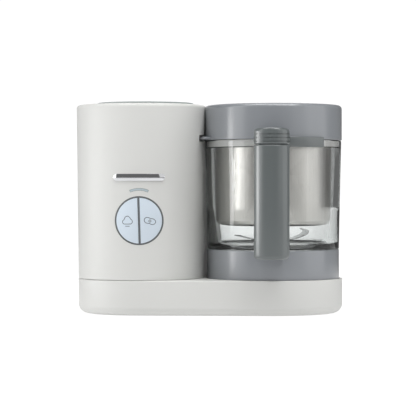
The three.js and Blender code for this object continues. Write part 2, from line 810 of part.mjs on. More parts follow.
place('motor_plate', motorPlate(), 'iron');
place('motor_stator', motorStator(), 'iron');
place('motor_bracket', motorBracket(), 'iron');
place('motor_shaft', motorShaft(), 'steel');
place('motor_rotor', ring(SHAFT_R + GAP, 22.2, 72, 108, TOWER_X, 0, 24), 'iron');
place('cooling_fan', coolingFan(), 'dark');
place('motor_pulley', pulley(PULLEY_SMALL, SHAFT_R + GAP, TOWER_X, 16), 'steel');
place('driven_pulley', pulley(PULLEY_LARGE, SPINDLE_R + GAP, BOWL_X, 20), 'dark');
place('drive_belt', driveBelt(), 'rubber');
place('spindle_bearing', spindleBearing(), 'brass');
place('drive_spindle', disc(SPINDLE_R, 8, 47, BOWL_X), 'steel');
place('drive_dog', driveDog(), 'grip');

// ---- bowl ----
function jarGlass() {
  return turned([
    [14.2, 69], [52, 69], [54, 66], [75, 66], [75, 77], [79, 77], [79.7, 116], [81.7, 205.2],
    [81.3, JAR_TOP], [79.4, JAR_TOP], [79.2, JAR_LEDGE], [74.6, JAR_LEDGE], [73.8, 165], [72.2, 125],
    [66.4, 84], [63, 78], [57, 76], [14.2, 76], [14.2, 69],
  ], ROUND, BOWL_X);
}

function jarCollar() {
  const shell = turned([
    [76, COLLAR_Z0], [COLLAR_R, COLLAR_Z0], [COLLAR_R, COLLAR_TOP], [75.4, COLLAR_TOP], [75.4, 63.5],
    [14.2, 63.5], [14.2, 60], [76, 60], [76, COLLAR_Z0],
  ], ROUND, BOWL_X);
  const skirt = ring(40.6, 43, 37.4, 60.5, BOWL_X, 0, 24);
  const lugs = [30, 150, 270].map((a) => sector(37.5, 41.5, 37.4, 40.9, a - 10, a + 6, BOWL_X, 3));
  return join(shell, skirt, ...lugs);
}

function bladeBearing() {
  return turned([
    [SHAFT_R + RUNNING, 54.6], [9, 54.6], [13.8, 59], [13.8, 76.3], [21, 76.3], [19, 78.6],
    [SHAFT_R + RUNNING, 78.6], [SHAFT_R + RUNNING, 54.6],
  ], 24, BOWL_X);
}

function basketBody() {
  const cup = turned([
    [0, BASKET_Z0], [63, BASKET_Z0], [67.2, BASKET_Z0 + 1.8], [BASKET_R, BASKET_Z0 + 6],
    [BASKET_R, JAR_LEDGE], [BASKET_R - 1, JAR_LEDGE], [BASKET_R - 1, BASKET_Z0 + 6.2],
    [66.6, BASKET_Z0 + 2.8], [63, BASKET_Z0 + 1], [0, BASKET_Z0 + 1],
  ], 32, BOWL_X);
  const holes = [];
  for (const [r, count] of [[24, 6], [48, 10]]) {
    for (let i = 0; i < count; i++) {
      holes.push(disc(1.6, BASKET_Z0 - 2, BASKET_Z0 + 3, ...polar(BOWL_X, r, 360 * i / count), 5));
    }
  }
  return cut(cup, ...holes);
}

function basketRim() {
  return turned([
    [66, 198], [78.4, 198], [78.4, 205.8], [75.5, 205.8], [74.5, 200.2], [66, 200.2], [66, 198],
  ], 36, BOWL_X);
}

// Level section of the grip: a rounded front, flat sides and a softer back.
function gripSection(half, inset, z) {
  const points = [];
  const front = HANDLE_OUT - inset - HANDLE_BULGE;
  for (let i = 0; i <= 10; i++) {
    const t = rad(-90 + 18 * i);
    points.push([half * Math.sin(t), -front - HANDLE_BULGE * Math.cos(t), z]);
  }
  for (const [side, start] of [[1, 0], [-1, 90]]) {
    for (let i = 0; i <= 2; i++) {
      const a = rad(start + 45 * i);
      const x = side * (half - HANDLE_BACK_R) + HANDLE_BACK_R * Math.cos(a);
      points.push([x, HANDLE_BACK_R * (Math.sin(a) - 1) - HANDLE_IN - inset, z]);
    }
  }
  return points;
}

// Upright bar in front of the bowl with rounded ends: the grip and the thumb tab share it.
function gripBar(z0, z1, topRadius, lowerRadius) {
  const half = HANDLE_W / 2;
  const rings = [];
  for (let i = 3; i >= 0; i--) {
    const a = rad(30 * i);
    const ease = Math.min(HANDLE_EASE, lowerRadius) * (1 - Math.cos(a));
    rings.push(gripSection(half - lowerRadius * (1 - Math.cos(a)), ease, z0 + lowerRadius * (1 - Math.sin(a))));
  }
  for (let i = 0; i <= 3; i++) {
    const a = rad(30 * i);
    const ease = Math.min(HANDLE_EASE, topRadius) * (1 - Math.cos(a));
    rings.push(gripSection(half - topRadius * (1 - Math.cos(a)), ease, z1 - topRadius * (1 - Math.sin(a))));
  }
  return facingHandle(lofted(rings));
}

function facingHandle(geometry) {
  geometry.rotateZ(rad(HANDLE_AZ + 90));
  geometry.translate(BOWL_X, 0, 0);
  return geometry;
}

// Cutter for a shallow line across the front of the thumb tab.
function gripGroove(z) {
  const slab = box(-30, 30, -HANDLE_OUT - 4, -HANDLE_OUT + HANDLE_BULGE, z, z + 0.8);
  const half = HANDLE_W / 2 - 0.7;
  const core = lofted([gripSection(half, 0.7, z - 1), gripSection(half, 0.7, z + 2)]);
  return facingHandle(cut(slab, core));
}

function handleGrip() {
  const grip = gripBar(HANDLE_Z0, HANDLE_TOP, 1.2, 5);
  const lower = cut(
    spoke(70, HANDLE_IN + 2, 30, HANDLE_Z0 + 1, 76.4, HANDLE_AZ),
    disc(COLLAR_R + GAP, 60, 80, BOWL_X, 0, ROUND),
  );
  const upper = cut(
    spoke(70, HANDLE_IN + 2, 30, 179, 193, HANDLE_AZ),
    disc(81.9, 170, 200, BOWL_X, 0, ROUND),
  );
  const post = spoke(95, HANDLE_IN - 1.6, 30, 190, 204.5, HANDLE_AZ);
  const keeper = spoke(88, 96, 36, 201.2, 204.5, HANDLE_AZ);
  return join(grip, lower, upper, post, keeper);
}

function jarGasket() {
  return ring(60, 72, 63.8, 65.7, BOWL_X, 0, 24);
}

// Twin curved wings, flat near the hub and swept up towards the tips.
function bladeWings() {
  const outline = [];
  const inner = [];
  const steps = 10;
  for (let i = 0; i <= steps; i++) {
    const t = i / steps;
    const r = 10 + 51 * t;
    const sweep = rad(52 * t * t);
    const half = (8.5 * (1 - t) + 3.2 * t + 4 * Math.sin(Math.PI * t)) / r;
    const nib = i === steps ? 0.25 : 1;
    outline.push([r, sweep + half * nib]);
    inner.push([r, sweep - half * nib]);
  }
  const wing = [...inner, ...outline.reverse()];
  const points = [];
  for (const turn of [0, Math.PI]) {
    for (const [r, a] of wing) points.push([r * Math.cos(a + turn), r * Math.sin(a + turn)]);
  }
  const g = upright(points, 0, 1.4);
  const p = g.getAttribute('position');
  for (let i = 0; i < p.count; i++) {
    const r = Math.hypot(p.getX(i), p.getY(i));
    const lift = Math.max(0, (r - 14) / 47);
    p.setZ(i, p.getZ(i) + 84 + 8.5 * lift * lift * (3 - 2 * lift));
  }
  g.translate(BOWL_X, 0, 0);
  const middle = disc(13.5, 84, 85.4, BOWL_X, 0, 24);
  return cut(join(g, middle), disc(8.3, 77, 97, BOWL_X, 0, 24));
}

function bladeHub() {
  return turned([
    [0, 90], [SHAFT_R + GAP, 90], [SHAFT_R + GAP, 79], [14, 79], [14, 83.7], [8, 83.7], [8, 86.2],
    [6.5, 93], [0, 94.5],
  ], 20, BOWL_X);
}

function bladeCoupling() {
  const shaft = disc(SHAFT_R, 51, 89.6, BOWL_X);
  const plate = disc(14.6, 50.6, 54.2, BOWL_X);
  const lugs = [60, 180, 300].map((a) => sector(8.5, 14.6, 44.6, 51, a - 15, a + 15, BOWL_X, 3));
  return join(shaft, plate, ...lugs);
}

place('jar_glass', jarGlass(), 'glass');
place('jar_collar', jarCollar(), 'blueGrey');
place('jar_gasket', jarGasket(), 'rubber');
place('handle_grip', handleGrip(), 'grip');
place('blade_bearing', bladeBearing(), 'brass');
place('basket_body', basketBody(), 'steel');
place('basket_rim', basketRim(), 'white');
place('blade_wings', bladeWings(), 'steel');
place('blade_hub', bladeHub(), 'dark');
place('blade_coupling', bladeCoupling(), 'steel');

// ---- lid ----
const TAB_Z0 = 199.6;
const TAB_TOP = 219.5;

function lidCover() {
  const profile = [[0, LID_TOP - 3], [LID_R - 3, LID_TOP - 3], [LID_R - 3, LID_Z0], [LID_R, LID_Z0]];
  for (let i = 0; i <= 3; i++) {
    const a = rad(90 * i / 3);
    profile.push([LID_R - 4.5 * (1 - Math.cos(a)), LID_TOP - 4.5 + 4.5 * Math.sin(a)]);
  }
  profile.push([0, LID_TOP]);
  const shell = turned(profile, ROUND, BOWL_X);
  const tab = gripBar(TAB_Z0, TAB_TOP, 7.5, 1.2);
  const arm = cut(
    spoke(70, HANDLE_IN + 2, 30, 209.5, TAB_TOP - 1, HANDLE_AZ),
    disc(LID_R - 1, 200, 240, BOWL_X, 0, ROUND),
  );
  const tongue = sector(82.9, 85.9, 197, 209, -98, -48, BOWL_X, 10);
  const bridge = sector(LID_R - 1, 83.5, 206.8, 209, -98, -48, BOWL_X, 10);
  const toe = sector(85, 90.4, 197, 200.4, -98, -80, BOWL_X, 5);
  const ear = sector(LID_R - 1, 92, 207, 210, 188, 206, BOWL_X, 5);
  const grooves = [202.2, 206.3, 210.4].map(gripGroove);
  return cut(
    join(shell, cut(tab, ...grooves), arm, tongue, bridge, toe, ear),
    radialPin(4.4, 75, 86, OUTLET_Z, OUTLET_AZ, 16),
  );
}

function lidLiner() {
  const cup = turned([
    [0, 209.3], [78.9, 209.3], [78.9, 244.6], [77, 244.6], [77, 211.3], [0, 211.3],
  ], 28, BOWL_X);
  const vents = [0, 60, 120, 180, 240, 300].map((a) => disc(2.5, 205, 215, ...polar(BOWL_X, 20, a), 6));
  return cut(cup, ...vents, radialPin(4.4, 70, 82, OUTLET_Z, OUTLET_AZ, 12));
}

function lidSeal() {
  return turned([
    [73, 206.2], [76, 206.2], [78.9, 207], [78.9, 209], [73, 209], [73, 206.2],
  ], 28, BOWL_X);
}

place('lid_cover', lidCover(), 'blueGrey');
place('lid_liner', lidLiner(), 'innerWhite');
place('lid_seal', lidSeal(), 'silicone');

// ---- water tank ----
function tankCup() {
  const cup = turned([
    [3, TANK_Z0], [TANK_R, TANK_Z0], [TANK_R, 243.8], [TANK_FLANGE_R, 243.8], [TANK_FLANGE_R, 247],
    [TANK_R - 2, 247], [TANK_R - 2, 219.5], [3, 219.5], [3, TANK_Z0],
  ], 28, TANK_X);
  const rear = common(
    disc(TANK_FLANGE_R, 246, CAP_TOP, TANK_X, 0, 28),
    box(TANK_X - 60, TANK_X + 60, CAP_HINGE_Y + 2.2, 70, 245, 252),
  );
  const lugs = [-1, 1].map((side) => {
    const x0 = Math.min(side * 25.4, side * 29);
    const x1 = Math.max(side * 25.4, side * 29);
    const arm = box(TANK_X + x0, TANK_X + x1, CAP_HINGE_Y, CAP_HINGE_Y + 3, 247.35, CAP_TOP);
    const eye = disc(1.8, x0, x1, 0, 0, 12);
    eye.rotateY(Math.PI / 2);
    eye.translate(TANK_X, CAP_HINGE_Y, CAP_HINGE_Z);
    return join(arm, eye);
  });
  const pinHole = disc(1.08, -32, 32, 0, 0, 12);
  pinHole.rotateY(Math.PI / 2);
  pinHole.translate(TANK_X, CAP_HINGE_Y, CAP_HINGE_Z);
  return cut(join(cup, rear, ...lugs), pinHole);
}

function tankCap() {
  const edge = CAP_R - 0.9;
  const plate = turned([
    [0, CAP_Z0], [CAP_R, CAP_Z0], [CAP_R, CAP_TOP - 0.9], [edge, CAP_TOP], [0, CAP_TOP],
  ], ROUND, TANK_X);
  const trimmed = cut(plate, box(TANK_X - 70, TANK_X + 70, CAP_HINGE_Y - 2.3, 80, 240, 260));
  const knuckle = disc(1.8, -25, 25, 0, 0, 12);
  knuckle.rotateY(Math.PI / 2);
  knuckle.translate(TANK_X, CAP_HINGE_Y, CAP_HINGE_Z);
  const neck = box(TANK_X - 25, TANK_X + 25, CAP_HINGE_Y - 4, CAP_HINGE_Y, CAP_Z0 + 0.05, CAP_TOP - 0.05);
  const pin = disc(1.0, -28.6, 28.6, 0, 0, 12);
  pin.rotateY(Math.PI / 2);
  pin.translate(TANK_X, CAP_HINGE_Y, CAP_HINGE_Z);
  return join(trimmed, knuckle, neck, pin);
}

function tankValve() {
  return turned([
    [0, 216.6], [2.2, 216.6], [2.2, 221.6], [5.5, 221.6], [5.5, 223.4], [0, 223.4],
  ], 16, TANK_X);
}

place('tank_cup', tankCup(), 'innerWhite');
place('tank_cap', tankCap(), 'grip');
place('tank_valve', tankValve(), 'silicone');

export default root;
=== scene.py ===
"""Baby food maker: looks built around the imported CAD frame, in millimetres, and its stage in metres."""

import json
import math

import bmesh
import bpy
from mathutils import Matrix, Vector


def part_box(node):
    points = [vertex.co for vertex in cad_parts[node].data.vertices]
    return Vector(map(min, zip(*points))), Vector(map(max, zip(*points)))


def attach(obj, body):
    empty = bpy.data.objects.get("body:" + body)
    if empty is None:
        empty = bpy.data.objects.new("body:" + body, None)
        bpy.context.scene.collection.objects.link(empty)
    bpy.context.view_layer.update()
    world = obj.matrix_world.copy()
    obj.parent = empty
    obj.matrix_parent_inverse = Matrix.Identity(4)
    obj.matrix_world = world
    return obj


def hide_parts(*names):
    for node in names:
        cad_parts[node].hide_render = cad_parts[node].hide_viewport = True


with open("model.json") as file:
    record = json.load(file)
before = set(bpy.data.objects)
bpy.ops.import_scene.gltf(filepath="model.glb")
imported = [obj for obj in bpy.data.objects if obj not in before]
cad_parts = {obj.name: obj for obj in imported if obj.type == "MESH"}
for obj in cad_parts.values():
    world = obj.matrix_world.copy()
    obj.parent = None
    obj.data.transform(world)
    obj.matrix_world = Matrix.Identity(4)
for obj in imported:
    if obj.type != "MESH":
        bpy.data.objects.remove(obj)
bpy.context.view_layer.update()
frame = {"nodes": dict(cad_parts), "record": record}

MM = 0.001


def low(node):
    return Vector(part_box(node)[0]) / MM


def high(node):
    return Vector(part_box(node)[1]) / MM


def middle(node):
    return (low(node) + high(node)) / 2


# ---- main positions, from the frame ----
# The tower, the bowl and the tank each have an upright axis, all at one depth.
# A bearing is an angle about the bowl's axis in degrees, from +X towards +Y.
TOWER_X = middle("motor_shaft").x
BOWL_X = middle("drive_spindle").x
TANK_X = middle("tank_valve").x
AXIS_Y = middle("drive_spindle").y
WALL = 2.8

BOSS_RISE = 2.0
BASE_Z0, BASE_TOP = low("base_housing").z, high("base_housing").z - BOSS_RISE
BASE_R_LEFT = 75.0
BASE_R_RIGHT = high("base_housing").x - BOWL_X
BASE_DEPTH = (high("base_housing").y - AXIS_Y) / BASE_R_RIGHT

TOWER_Z0, TOWER_TOP = low("tower_shell").z, high("tower_shell").z
TOWER_R0, TOWER_R1 = 74.9, 77.3
BUTTON_Z = middle("control_bezel").z
OUTLET_BEARING, OUTLET_Z, OUTLET_R, INLET_R = 173.6, 230.0, 5.0, 4.4

LID_Z0, LID_TOP = 206.4, high("lid_cover").z
LID_R = 82.3
JAR_TOP = high("jar_glass").z
HANDLE_BEARING = -92.7

# ---- camera, at the photograph's viewing angle ----
CAMERA_DISTANCE = 2230.0
AIM = Vector((-1.85, AXIS_Y, 125.6))
EYE = Vector((AIM.x, AXIS_Y - CAMERA_DISTANCE, 149.6))
SENSOR_WIDTH, FOCAL_LENGTH = 36, 160.8
CLIP_END_METRES = 20


def make_camera():
    data = bpy.data.cameras.new("camera")
    data.sensor_width = SENSOR_WIDTH
    data.lens = FOCAL_LENGTH
    data.clip_end = CLIP_END_METRES
    camera = bpy.data.objects.new("camera", data)
    bpy.context.scene.collection.objects.link(camera)
    camera.location = EYE * MM
    camera.rotation_euler = (AIM - EYE).to_track_quat("-Z", "Y").to_euler()
    bpy.context.scene.camera = camera


make_camera()


# ---- mesh helpers ----
def quarter_turn(steps):
    """Angles from 0 to 90 degrees, in radians."""
    return [math.radians(90 * i / steps) for i in range(steps + 1)]


def full_turn(steps):
    """Angles all the way round, in radians."""
    return [2 * math.pi * i / steps for i in range(steps)]


def add_object(name, bm):
    bmesh.ops.remove_doubles(bm, verts=bm.verts, dist=1e-7)
    bmesh.ops.recalc_face_normals(bm, faces=bm.faces)
    mesh = bpy.data.meshes.new(name)
    bm.to_mesh(mesh)
    bm.free()
    obj = bpy.data.objects.new(name, mesh)
    bpy.context.scene.collection.objects.link(obj)
    return obj


def smooth(obj, angle):
    """Smooth faces, with sharp edges where the surface turns by more than the angle."""
    bm = bmesh.new()
    bm.from_mesh(obj.data)
    limit = math.radians(angle)
    for face in bm.faces:
        face.smooth = True
    for edge in bm.edges:
        edge.smooth = not (len(edge.link_faces) == 2 and edge.calc_face_angle(0.0) > limit)
    bm.to_mesh(obj.data)
    bm.free()


def apply_modifiers(obj):
    graph = bpy.context.evaluated_depsgraph_get()
    mesh = bpy.data.meshes.new_from_object(obj.evaluated_get(graph))
    obj.modifiers.clear()
    obj.data = mesh
    return obj


def boolean(obj, operation, *tools):
    for tool in tools:
        modifier = obj.modifiers.new("cut", "BOOLEAN")
        modifier.operation = operation
        modifier.solver = "EXACT"
        modifier.object = tool
        apply_modifiers(obj)
        bpy.data.objects.remove(tool, do_unlink=True)
    return obj


def carve(obj, *tools):
    return boolean(obj, "DIFFERENCE", *tools)


def keep(obj, *tools):
    return boolean(obj, "INTERSECT", *tools)


def fuse(obj, *tools):
    return boolean(obj, "UNION", *tools)


def bevel(obj, width, segments=2, angle=40):
    """Round the edges that are sharper than the angle."""
    modifier = obj.modifiers.new("edge", "BEVEL")
    modifier.width = width * MM
    modifier.segments = segments
    modifier.limit_method = "ANGLE"
    modifier.angle_limit = math.radians(angle)
    modifier.harden_normals = False
    return apply_modifiers(obj)


def soften(points, steps=5, loop=False):
    """Round the corners of a 2D path: each point is (u, v, corner radius)."""
    out = []
    count = len(points)
    for i, (x, y, radius) in enumerate(points):
        if radius <= 0 or (not loop and i in (0, count - 1)):
            out.append((x, y))
            continue
        corner = Vector((x, y))
        back = Vector(points[i - 1][:2]) - corner
        ahead = Vector(points[(i + 1) % count][:2]) - corner
        back_length, ahead_length = back.length, ahead.length
        back.normalize()
        ahead.normalize()
        angle = back.angle(ahead)
        if angle > math.pi - 1e-3:
            out.append((x, y))
            continue
        reach = min(radius / math.tan(angle / 2), back_length * 0.49, ahead_length * 0.49)
        r = reach * math.tan(angle / 2)
        centre = corner + (back + ahead).normalized() * (r / math.sin(angle / 2))
        start = corner + back * reach - centre
        end = corner + ahead * reach - centre
        first = math.atan2(start.y, start.x)
        turn = math.atan2(end.y, end.x) - first
        turn = (turn + math.pi) % (2 * math.pi) - math.pi
        for k in range(steps + 1):
            a = first + turn * k / steps
            out.append((centre.x + r * math.cos(a), centre.y + r * math.sin(a)))
    return out


def lathe(name, profile, x, segments=160, loop=False, y=None, steps=5):
    """Turned solid about a vertical axis; a profile point is (radius, height) and may add a rounding."""
    path = soften([(*point, 0)[:3] for point in profile], steps, loop)
    y = AXIS_Y if y is None else y
    bm = bmesh.new()
    rings = []
    for r, z in path:
        if r < 1e-6:
            rings.append([bm.verts.new((x * MM, y * MM, z * MM))])
        else:
            rings.append([
                bm.verts.new(((x + r * math.cos(a)) * MM, (y + r * math.sin(a)) * MM, z * MM))
                for a in full_turn(segments)
            ])
    pairs = list(zip(rings, rings[1:]))
    if loop:
        pairs.append((rings[-1], rings[0]))
    for a, b in pairs:
        for i in range(segments):
            j = (i + 1) % segments
            corners = [a[i % len(a)], a[j % len(a)], b[j % len(b)], b[i % len(b)]]
            unique = list(dict.fromkeys(corners))
            if len(unique) > 2:
                bm.faces.new(unique)
    return add_object(name, bm)


def cylinder(name, r, z0, z1, x, y=None, segments=96):
    return lathe(name, [(0, z0), (r, z0), (r, z1), (0, z1)], x, segments, y=y)


def loft(name, rings):
    """Closed skin over rings of equal point count, with flat ends."""
    bm = bmesh.new()
    made = [[bm.verts.new(Vector(p) * MM) for p in ring] for ring in rings]
    for a, b in zip(made, made[1:]):
        for i in range(len(a)):
            j = (i + 1) % len(a)
            bm.faces.new((a[i], a[j], b[j], b[i]))
    bm.faces.new(made[0])
    bm.faces.new(made[-1])
    return add_object(name, bm)


def prism(name, outline, y0, y1):
    """Front-view outline of (x, z) pairs run through from y0 to y1."""
    return loft(name, [[(x, y0, z) for x, z in outline], [(x, y1, z) for x, z in outline]])


def block(name, x0, x1, y0, y1, z0, z1):
    return loft(name, [[(x0, y0, z), (x1, y0, z), (x1, y1, z), (x0, y1, z)] for z in (z0, z1)])


def bar_x(name, r, x0, x1, y, z, segments=48):
    """Round bar along x."""
    return loft(name, [
        [(x, y + r * math.cos(a), z + r * math.sin(a)) for a in full_turn(segments)] for x in (x0, x1)
    ])


def from_bowl(r, bearing, across, z):
    """Point at a radius from the bowl's axis, moved square to that radius; the bearing is in radians."""
    c, s = math.cos(bearing), math.sin(bearing)
    return BOWL_X + r * c - across * s, AXIS_Y + r * s + across * c, z


def sector(name, r0, r1, z0, z1, bearing0, bearing1, steps=24):
    """Part of a ring about the bowl's axis."""
    rings = []
    for i in range(steps + 1):
        a = math.radians(bearing0 + (bearing1 - bearing0) * i / steps)
        rings.append([from_bowl(r, a, 0, z) for r, z in ((r0, z0), (r1, z0), (r1, z1), (r0, z1))])
    return loft(name, rings)


def spoke(name, r0, r1, width, z0, z1, bearing):
    """Straight bar that runs outwards from the bowl's axis."""
    a, half = math.radians(bearing), width / 2
    corners = ((-half, z0), (half, z0), (half, z1), (-half, z1))
    return loft(name, [[from_bowl(r, a, u, z) for u, z in corners] for r in (r0, r1)])


def radial_pin(name, r, r0, r1, z, bearing, segments=48):
    """Round pin that runs outwards from the bowl's axis."""
    a = math.radians(bearing)
    return loft(name, [
        [from_bowl(d, a, r * math.cos(t), z + r * math.sin(t)) for t in full_turn(segments)] for d in (r0, r1)
    ])


def circle(cx, cz, r, segments=120):
    return [(cx + r * math.cos(a), cz + r * math.sin(a)) for a in full_turn(segments)]


def arc(cx, cz, r, start, end, steps):
    """Points on an arc; angles in degrees."""
    angles = [math.radians(start + (end - start) * i / steps) for i in range(steps + 1)]
    return [(cx + r * math.cos(a), cz + r * math.sin(a)) for a in angles]


def tower_radius(z):
    return TOWER_R0 + (TOWER_R1 - TOWER_R0) * (z - TOWER_Z0) / (TOWER_TOP - TOWER_Z0)


def tower_front(x, z, offset):
    """Y of the tower's skin in front of its axis."""
    r = tower_radius(z) + offset
    return AXIS_Y - math.sqrt(max(r * r - (x - TOWER_X) ** 2, 0.0))


def tower_skin(name, outer, inner, z0, z1, segments=288):
    """Thin tapered tube that follows the tower's skin, between two offsets from it."""
    return lathe(name, [
        (tower_radius(z0) + inner, z0), (tower_radius(z0) + outer, z0),
        (tower_radius(z1) + outer, z1), (tower_radius(z1) + inner, z1),
    ], TOWER_X, segments, loop=True)


# ---- materials ----
COAT_ROUGHNESS = 0.22
NOISE_LOW, NOISE_HIGH = 0.3, 0.7
COLOUR_DRIFT, GLOSS_DRIFT = 14, 30
GLOSS_DOWN, GLOSS_UP = 0.008, 0.012
METAL_DOWN, METAL_UP, METAL_SHADE = 0.06, 0.08, 0.93


def new_material(name, color, roughness, metallic=0.0, coat=0.0, ior=1.5):
    material = bpy.data.materials.new(name)
    material.use_nodes = True
    shader = material.node_tree.nodes["Principled BSDF"]
    shader.inputs["Base Color"].default_value = (*color, 1)
    shader.inputs["Roughness"].default_value = roughness
    shader.inputs["Metallic"].default_value = metallic
    shader.inputs["IOR"].default_value = ior
    shader.inputs["Coat Weight"].default_value = coat
    shader.inputs["Coat Roughness"].default_value = COAT_ROUGHNESS
    return material, shader


def add_node(material, kind):
    return material.node_tree.nodes.new(kind)


def link(material, a, b):
    material.node_tree.links.new(a, b)


def noise(material, scale, detail=3.0, stretch=(1, 1, 1)):
    """Noise in the object's own space; scale counts features per metre."""
    coords = add_node(material, "ShaderNodeTexCoord")
    mapping = add_node(material, "ShaderNodeMapping")
    mapping.inputs["Scale"].default_value = stretch
    texture = add_node(material, "ShaderNodeTexNoise")
    texture.inputs["Scale"].default_value = scale
    texture.inputs["Detail"].default_value = detail
    texture.inputs["Roughness"].default_value = 0.5
    link(material, coords.outputs["Object"], mapping.inputs["Vector"])
    link(material, mapping.outputs["Vector"], texture.inputs["Vector"])
    return texture.outputs["Fac"]


def spread(material, source, lowest, highest):
    """Stretch a noise over a range of values."""
    remap = add_node(material, "ShaderNodeMapRange")
    remap.inputs["From Min"].default_value = NOISE_LOW
    remap.inputs["From Max"].default_value = NOISE_HIGH
    remap.inputs["To Min"].default_value = lowest
    remap.inputs["To Max"].default_value = highest
    link(material, source, remap.inputs["Value"])
    return remap.outputs["Result"]


def tint(material, source, first, second):
    """Stretch a noise between two colours."""
    ramp = add_node(material, "ShaderNodeValToRGB")
    ramp.color_ramp.elements[0].position = NOISE_LOW
    ramp.color_ramp.elements[1].position = NOISE_HIGH
    ramp.color_ramp.elements[0].color = (*first, 1)
    ramp.color_ramp.elements[1].color = (*second, 1)
    link(material, source, ramp.inputs["Fac"])
    return ramp.outputs["Color"]


def bump(material, shader, source, strength, distance):
    made = add_node(material, "ShaderNodeBump")
    made.inputs["Strength"].default_value = strength
    made.inputs["Distance"].default_value = distance
    link(material, source, made.inputs["Height"])
    link(material, made.outputs["Normal"], shader.inputs["Normal"])


def moulded(name, color, roughness, shade=0.96, grain=2600, depth=0.00002, strength=0.25, coat=0.0, sub=0.0):
    """Moulded plastic or rubber: a fine grain, slow colour drift and slightly uneven gloss."""
    material, shader = new_material(name, color, roughness, coat=coat, ior=1.49)
    darker = tuple(c * shade for c in color)
    drift = noise(material, COLOUR_DRIFT, 2.0)
    link(material, tint(material, drift, darker, color), shader.inputs["Base Color"])
    gloss = noise(material, GLOSS_DRIFT, 1.0)
    uneven = spread(material, gloss, roughness - GLOSS_DOWN, roughness + GLOSS_UP)
    link(material, uneven, shader.inputs["Roughness"])
    bump(material, shader, noise(material, grain, 2.0), strength, depth)
    if sub:
        shader.inputs["Subsurface Weight"].default_value = sub
        shader.inputs["Subsurface Radius"].default_value = (0.004, 0.004, 0.004)
        shader.inputs["Subsurface Scale"].default_value = 1.0
    return material


def metal(name, color, roughness, stretch=(1, 1, 1), grain=900, depth=0.00002, strength=0.2):
    """Metal with fine lines or spots; a small stretch along an axis draws the lines out along it."""
    material, shader = new_material(name, color, roughness, metallic=1.0)
    lines = noise(material, grain, 4.0, stretch)
    uneven = spread(material, lines, roughness - METAL_DOWN, roughness + METAL_UP)
    link(material, uneven, shader.inputs["Roughness"])
    darker = tuple(c * METAL_SHADE for c in color)
    stain = noise(material, grain * 0.5, 3.0, stretch)
    link(material, tint(material, stain, darker, color), shader.inputs["Base Color"])
    bump(material, shader, lines, strength, depth)
    return material


def clear_glass():
    """Pressed glass: faint waves, almost no roughness, and a slight grey-green in its thickness."""
    material, shader = new_material("clear_glass", (1.0, 1.0, 1.0), 0.0, ior=1.5)
    shader.inputs["Transmission Weight"].default_value = 1.0
    bump(material, shader, noise(material, 22, 1.0, (1, 1, 0.35)), 0.12, 0.0006)
    link(material, spread(material, noise(material, 90, 2.0), 0.0, 0.015), shader.inputs["Roughness"])
    absorb = add_node(material, "ShaderNodeVolumeAbsorption")
    absorb.inputs["Color"].default_value = (0.78, 0.82, 0.81, 1)
    absorb.inputs["Density"].default_value = 40.0
    link(material, absorb.outputs["Volume"], material.node_tree.nodes["Material Output"].inputs["Volume"])
    return material


WHITE = moulded("white_abs", (0.712, 0.714, 0.694), 0.45, shade=0.985, sub=0.04)
INNER_WHITE = moulded("inner_white", (0.74, 0.74, 0.72), 0.5, shade=0.97)
RIM_WHITE = moulded("rim_white", (0.93, 0.93, 0.91), 0.4, shade=0.985)
BLUE_GREY = moulded("blue_grey", (0.262, 0.277, 0.297), 0.3, shade=0.98, coat=0.9)
GRIP = moulded("grip_grey", (0.12, 0.136, 0.137), 0.3, shade=0.97, coat=1.0)
PALE_BLUE = moulded("pale_blue", (0.68, 0.765, 0.85), 0.36, shade=0.975, sub=0.05)
DARK = moulded("dark_plastic", (0.045, 0.05, 0.055), 0.4, shade=0.9)
RING = moulded("ring_grey", (0.15, 0.16, 0.17), 0.4, shade=0.95)
LENS = moulded("lens_plastic", (0.50, 0.58, 0.62), 0.2, shade=0.95, coat=0.3)
CAP = moulded("cap_grey", (0.33, 0.37, 0.365), 0.3, shade=0.96)
ICON = moulded("icon_ink", (0.13, 0.15, 0.17), 0.5, shade=0.9)
RUBBER = moulded("rubber", (0.035, 0.035, 0.037), 0.75, shade=0.85, grain=1500, depth=0.00005, strength=0.5)
SILICONE = moulded("silicone", (0.62, 0.63, 0.62), 0.55, shade=0.95, grain=1200, sub=0.1)
BOARD = moulded("circuit_board", (0.03, 0.13, 0.07), 0.45, shade=0.6, grain=300, depth=0.0001, strength=0.4)
STEEL = metal("brushed_steel", (0.68, 0.66, 0.63), 0.33, stretch=(1, 1, 0.03), grain=1600, depth=0.000008)
BLADE_STEEL = metal("blade_steel", (0.27, 0.28, 0.28), 0.22, stretch=(1, 0.2, 1), grain=600)
TURNED = metal("turned_steel", (0.58, 0.58, 0.58), 0.25, stretch=(0.1, 0.1, 1))
CHROME = metal("chrome", (0.82, 0.83, 0.85), 0.08, grain=40, depth=0.00001, strength=0.1)
IRON = metal("motor_iron", (0.26, 0.265, 0.27), 0.5, grain=400, depth=0.00005, strength=0.4)
BRASS = metal("bearing_brass", (0.60, 0.47, 0.22), 0.32, stretch=(0.1, 0.1, 1), grain=700)
ALUMINIUM = metal("cast_aluminium", (0.6, 0.6, 0.59), 0.45, grain=300, depth=0.00006, strength=0.5)
GLASS = clear_glass()

BY_SLOT = {
    "white_plastic": WHITE, "inner_white": INNER_WHITE, "blue_grey": BLUE_GREY, "grip_grey": GRIP,
    "pale_blue": PALE_BLUE, "dark_plastic": DARK, "rubber": RUBBER, "silicone": SILICONE,
    "stainless": TURNED, "chrome": CHROME, "motor_iron": IRON, "bearing_brass": BRASS,
    "aluminium": ALUMINIUM, "clear_glass": GLASS, "lens": LENS, "circuit_board": BOARD,
}


def paint(obj, material):
    obj.data.materials.clear()
    obj.data.materials.append(material)


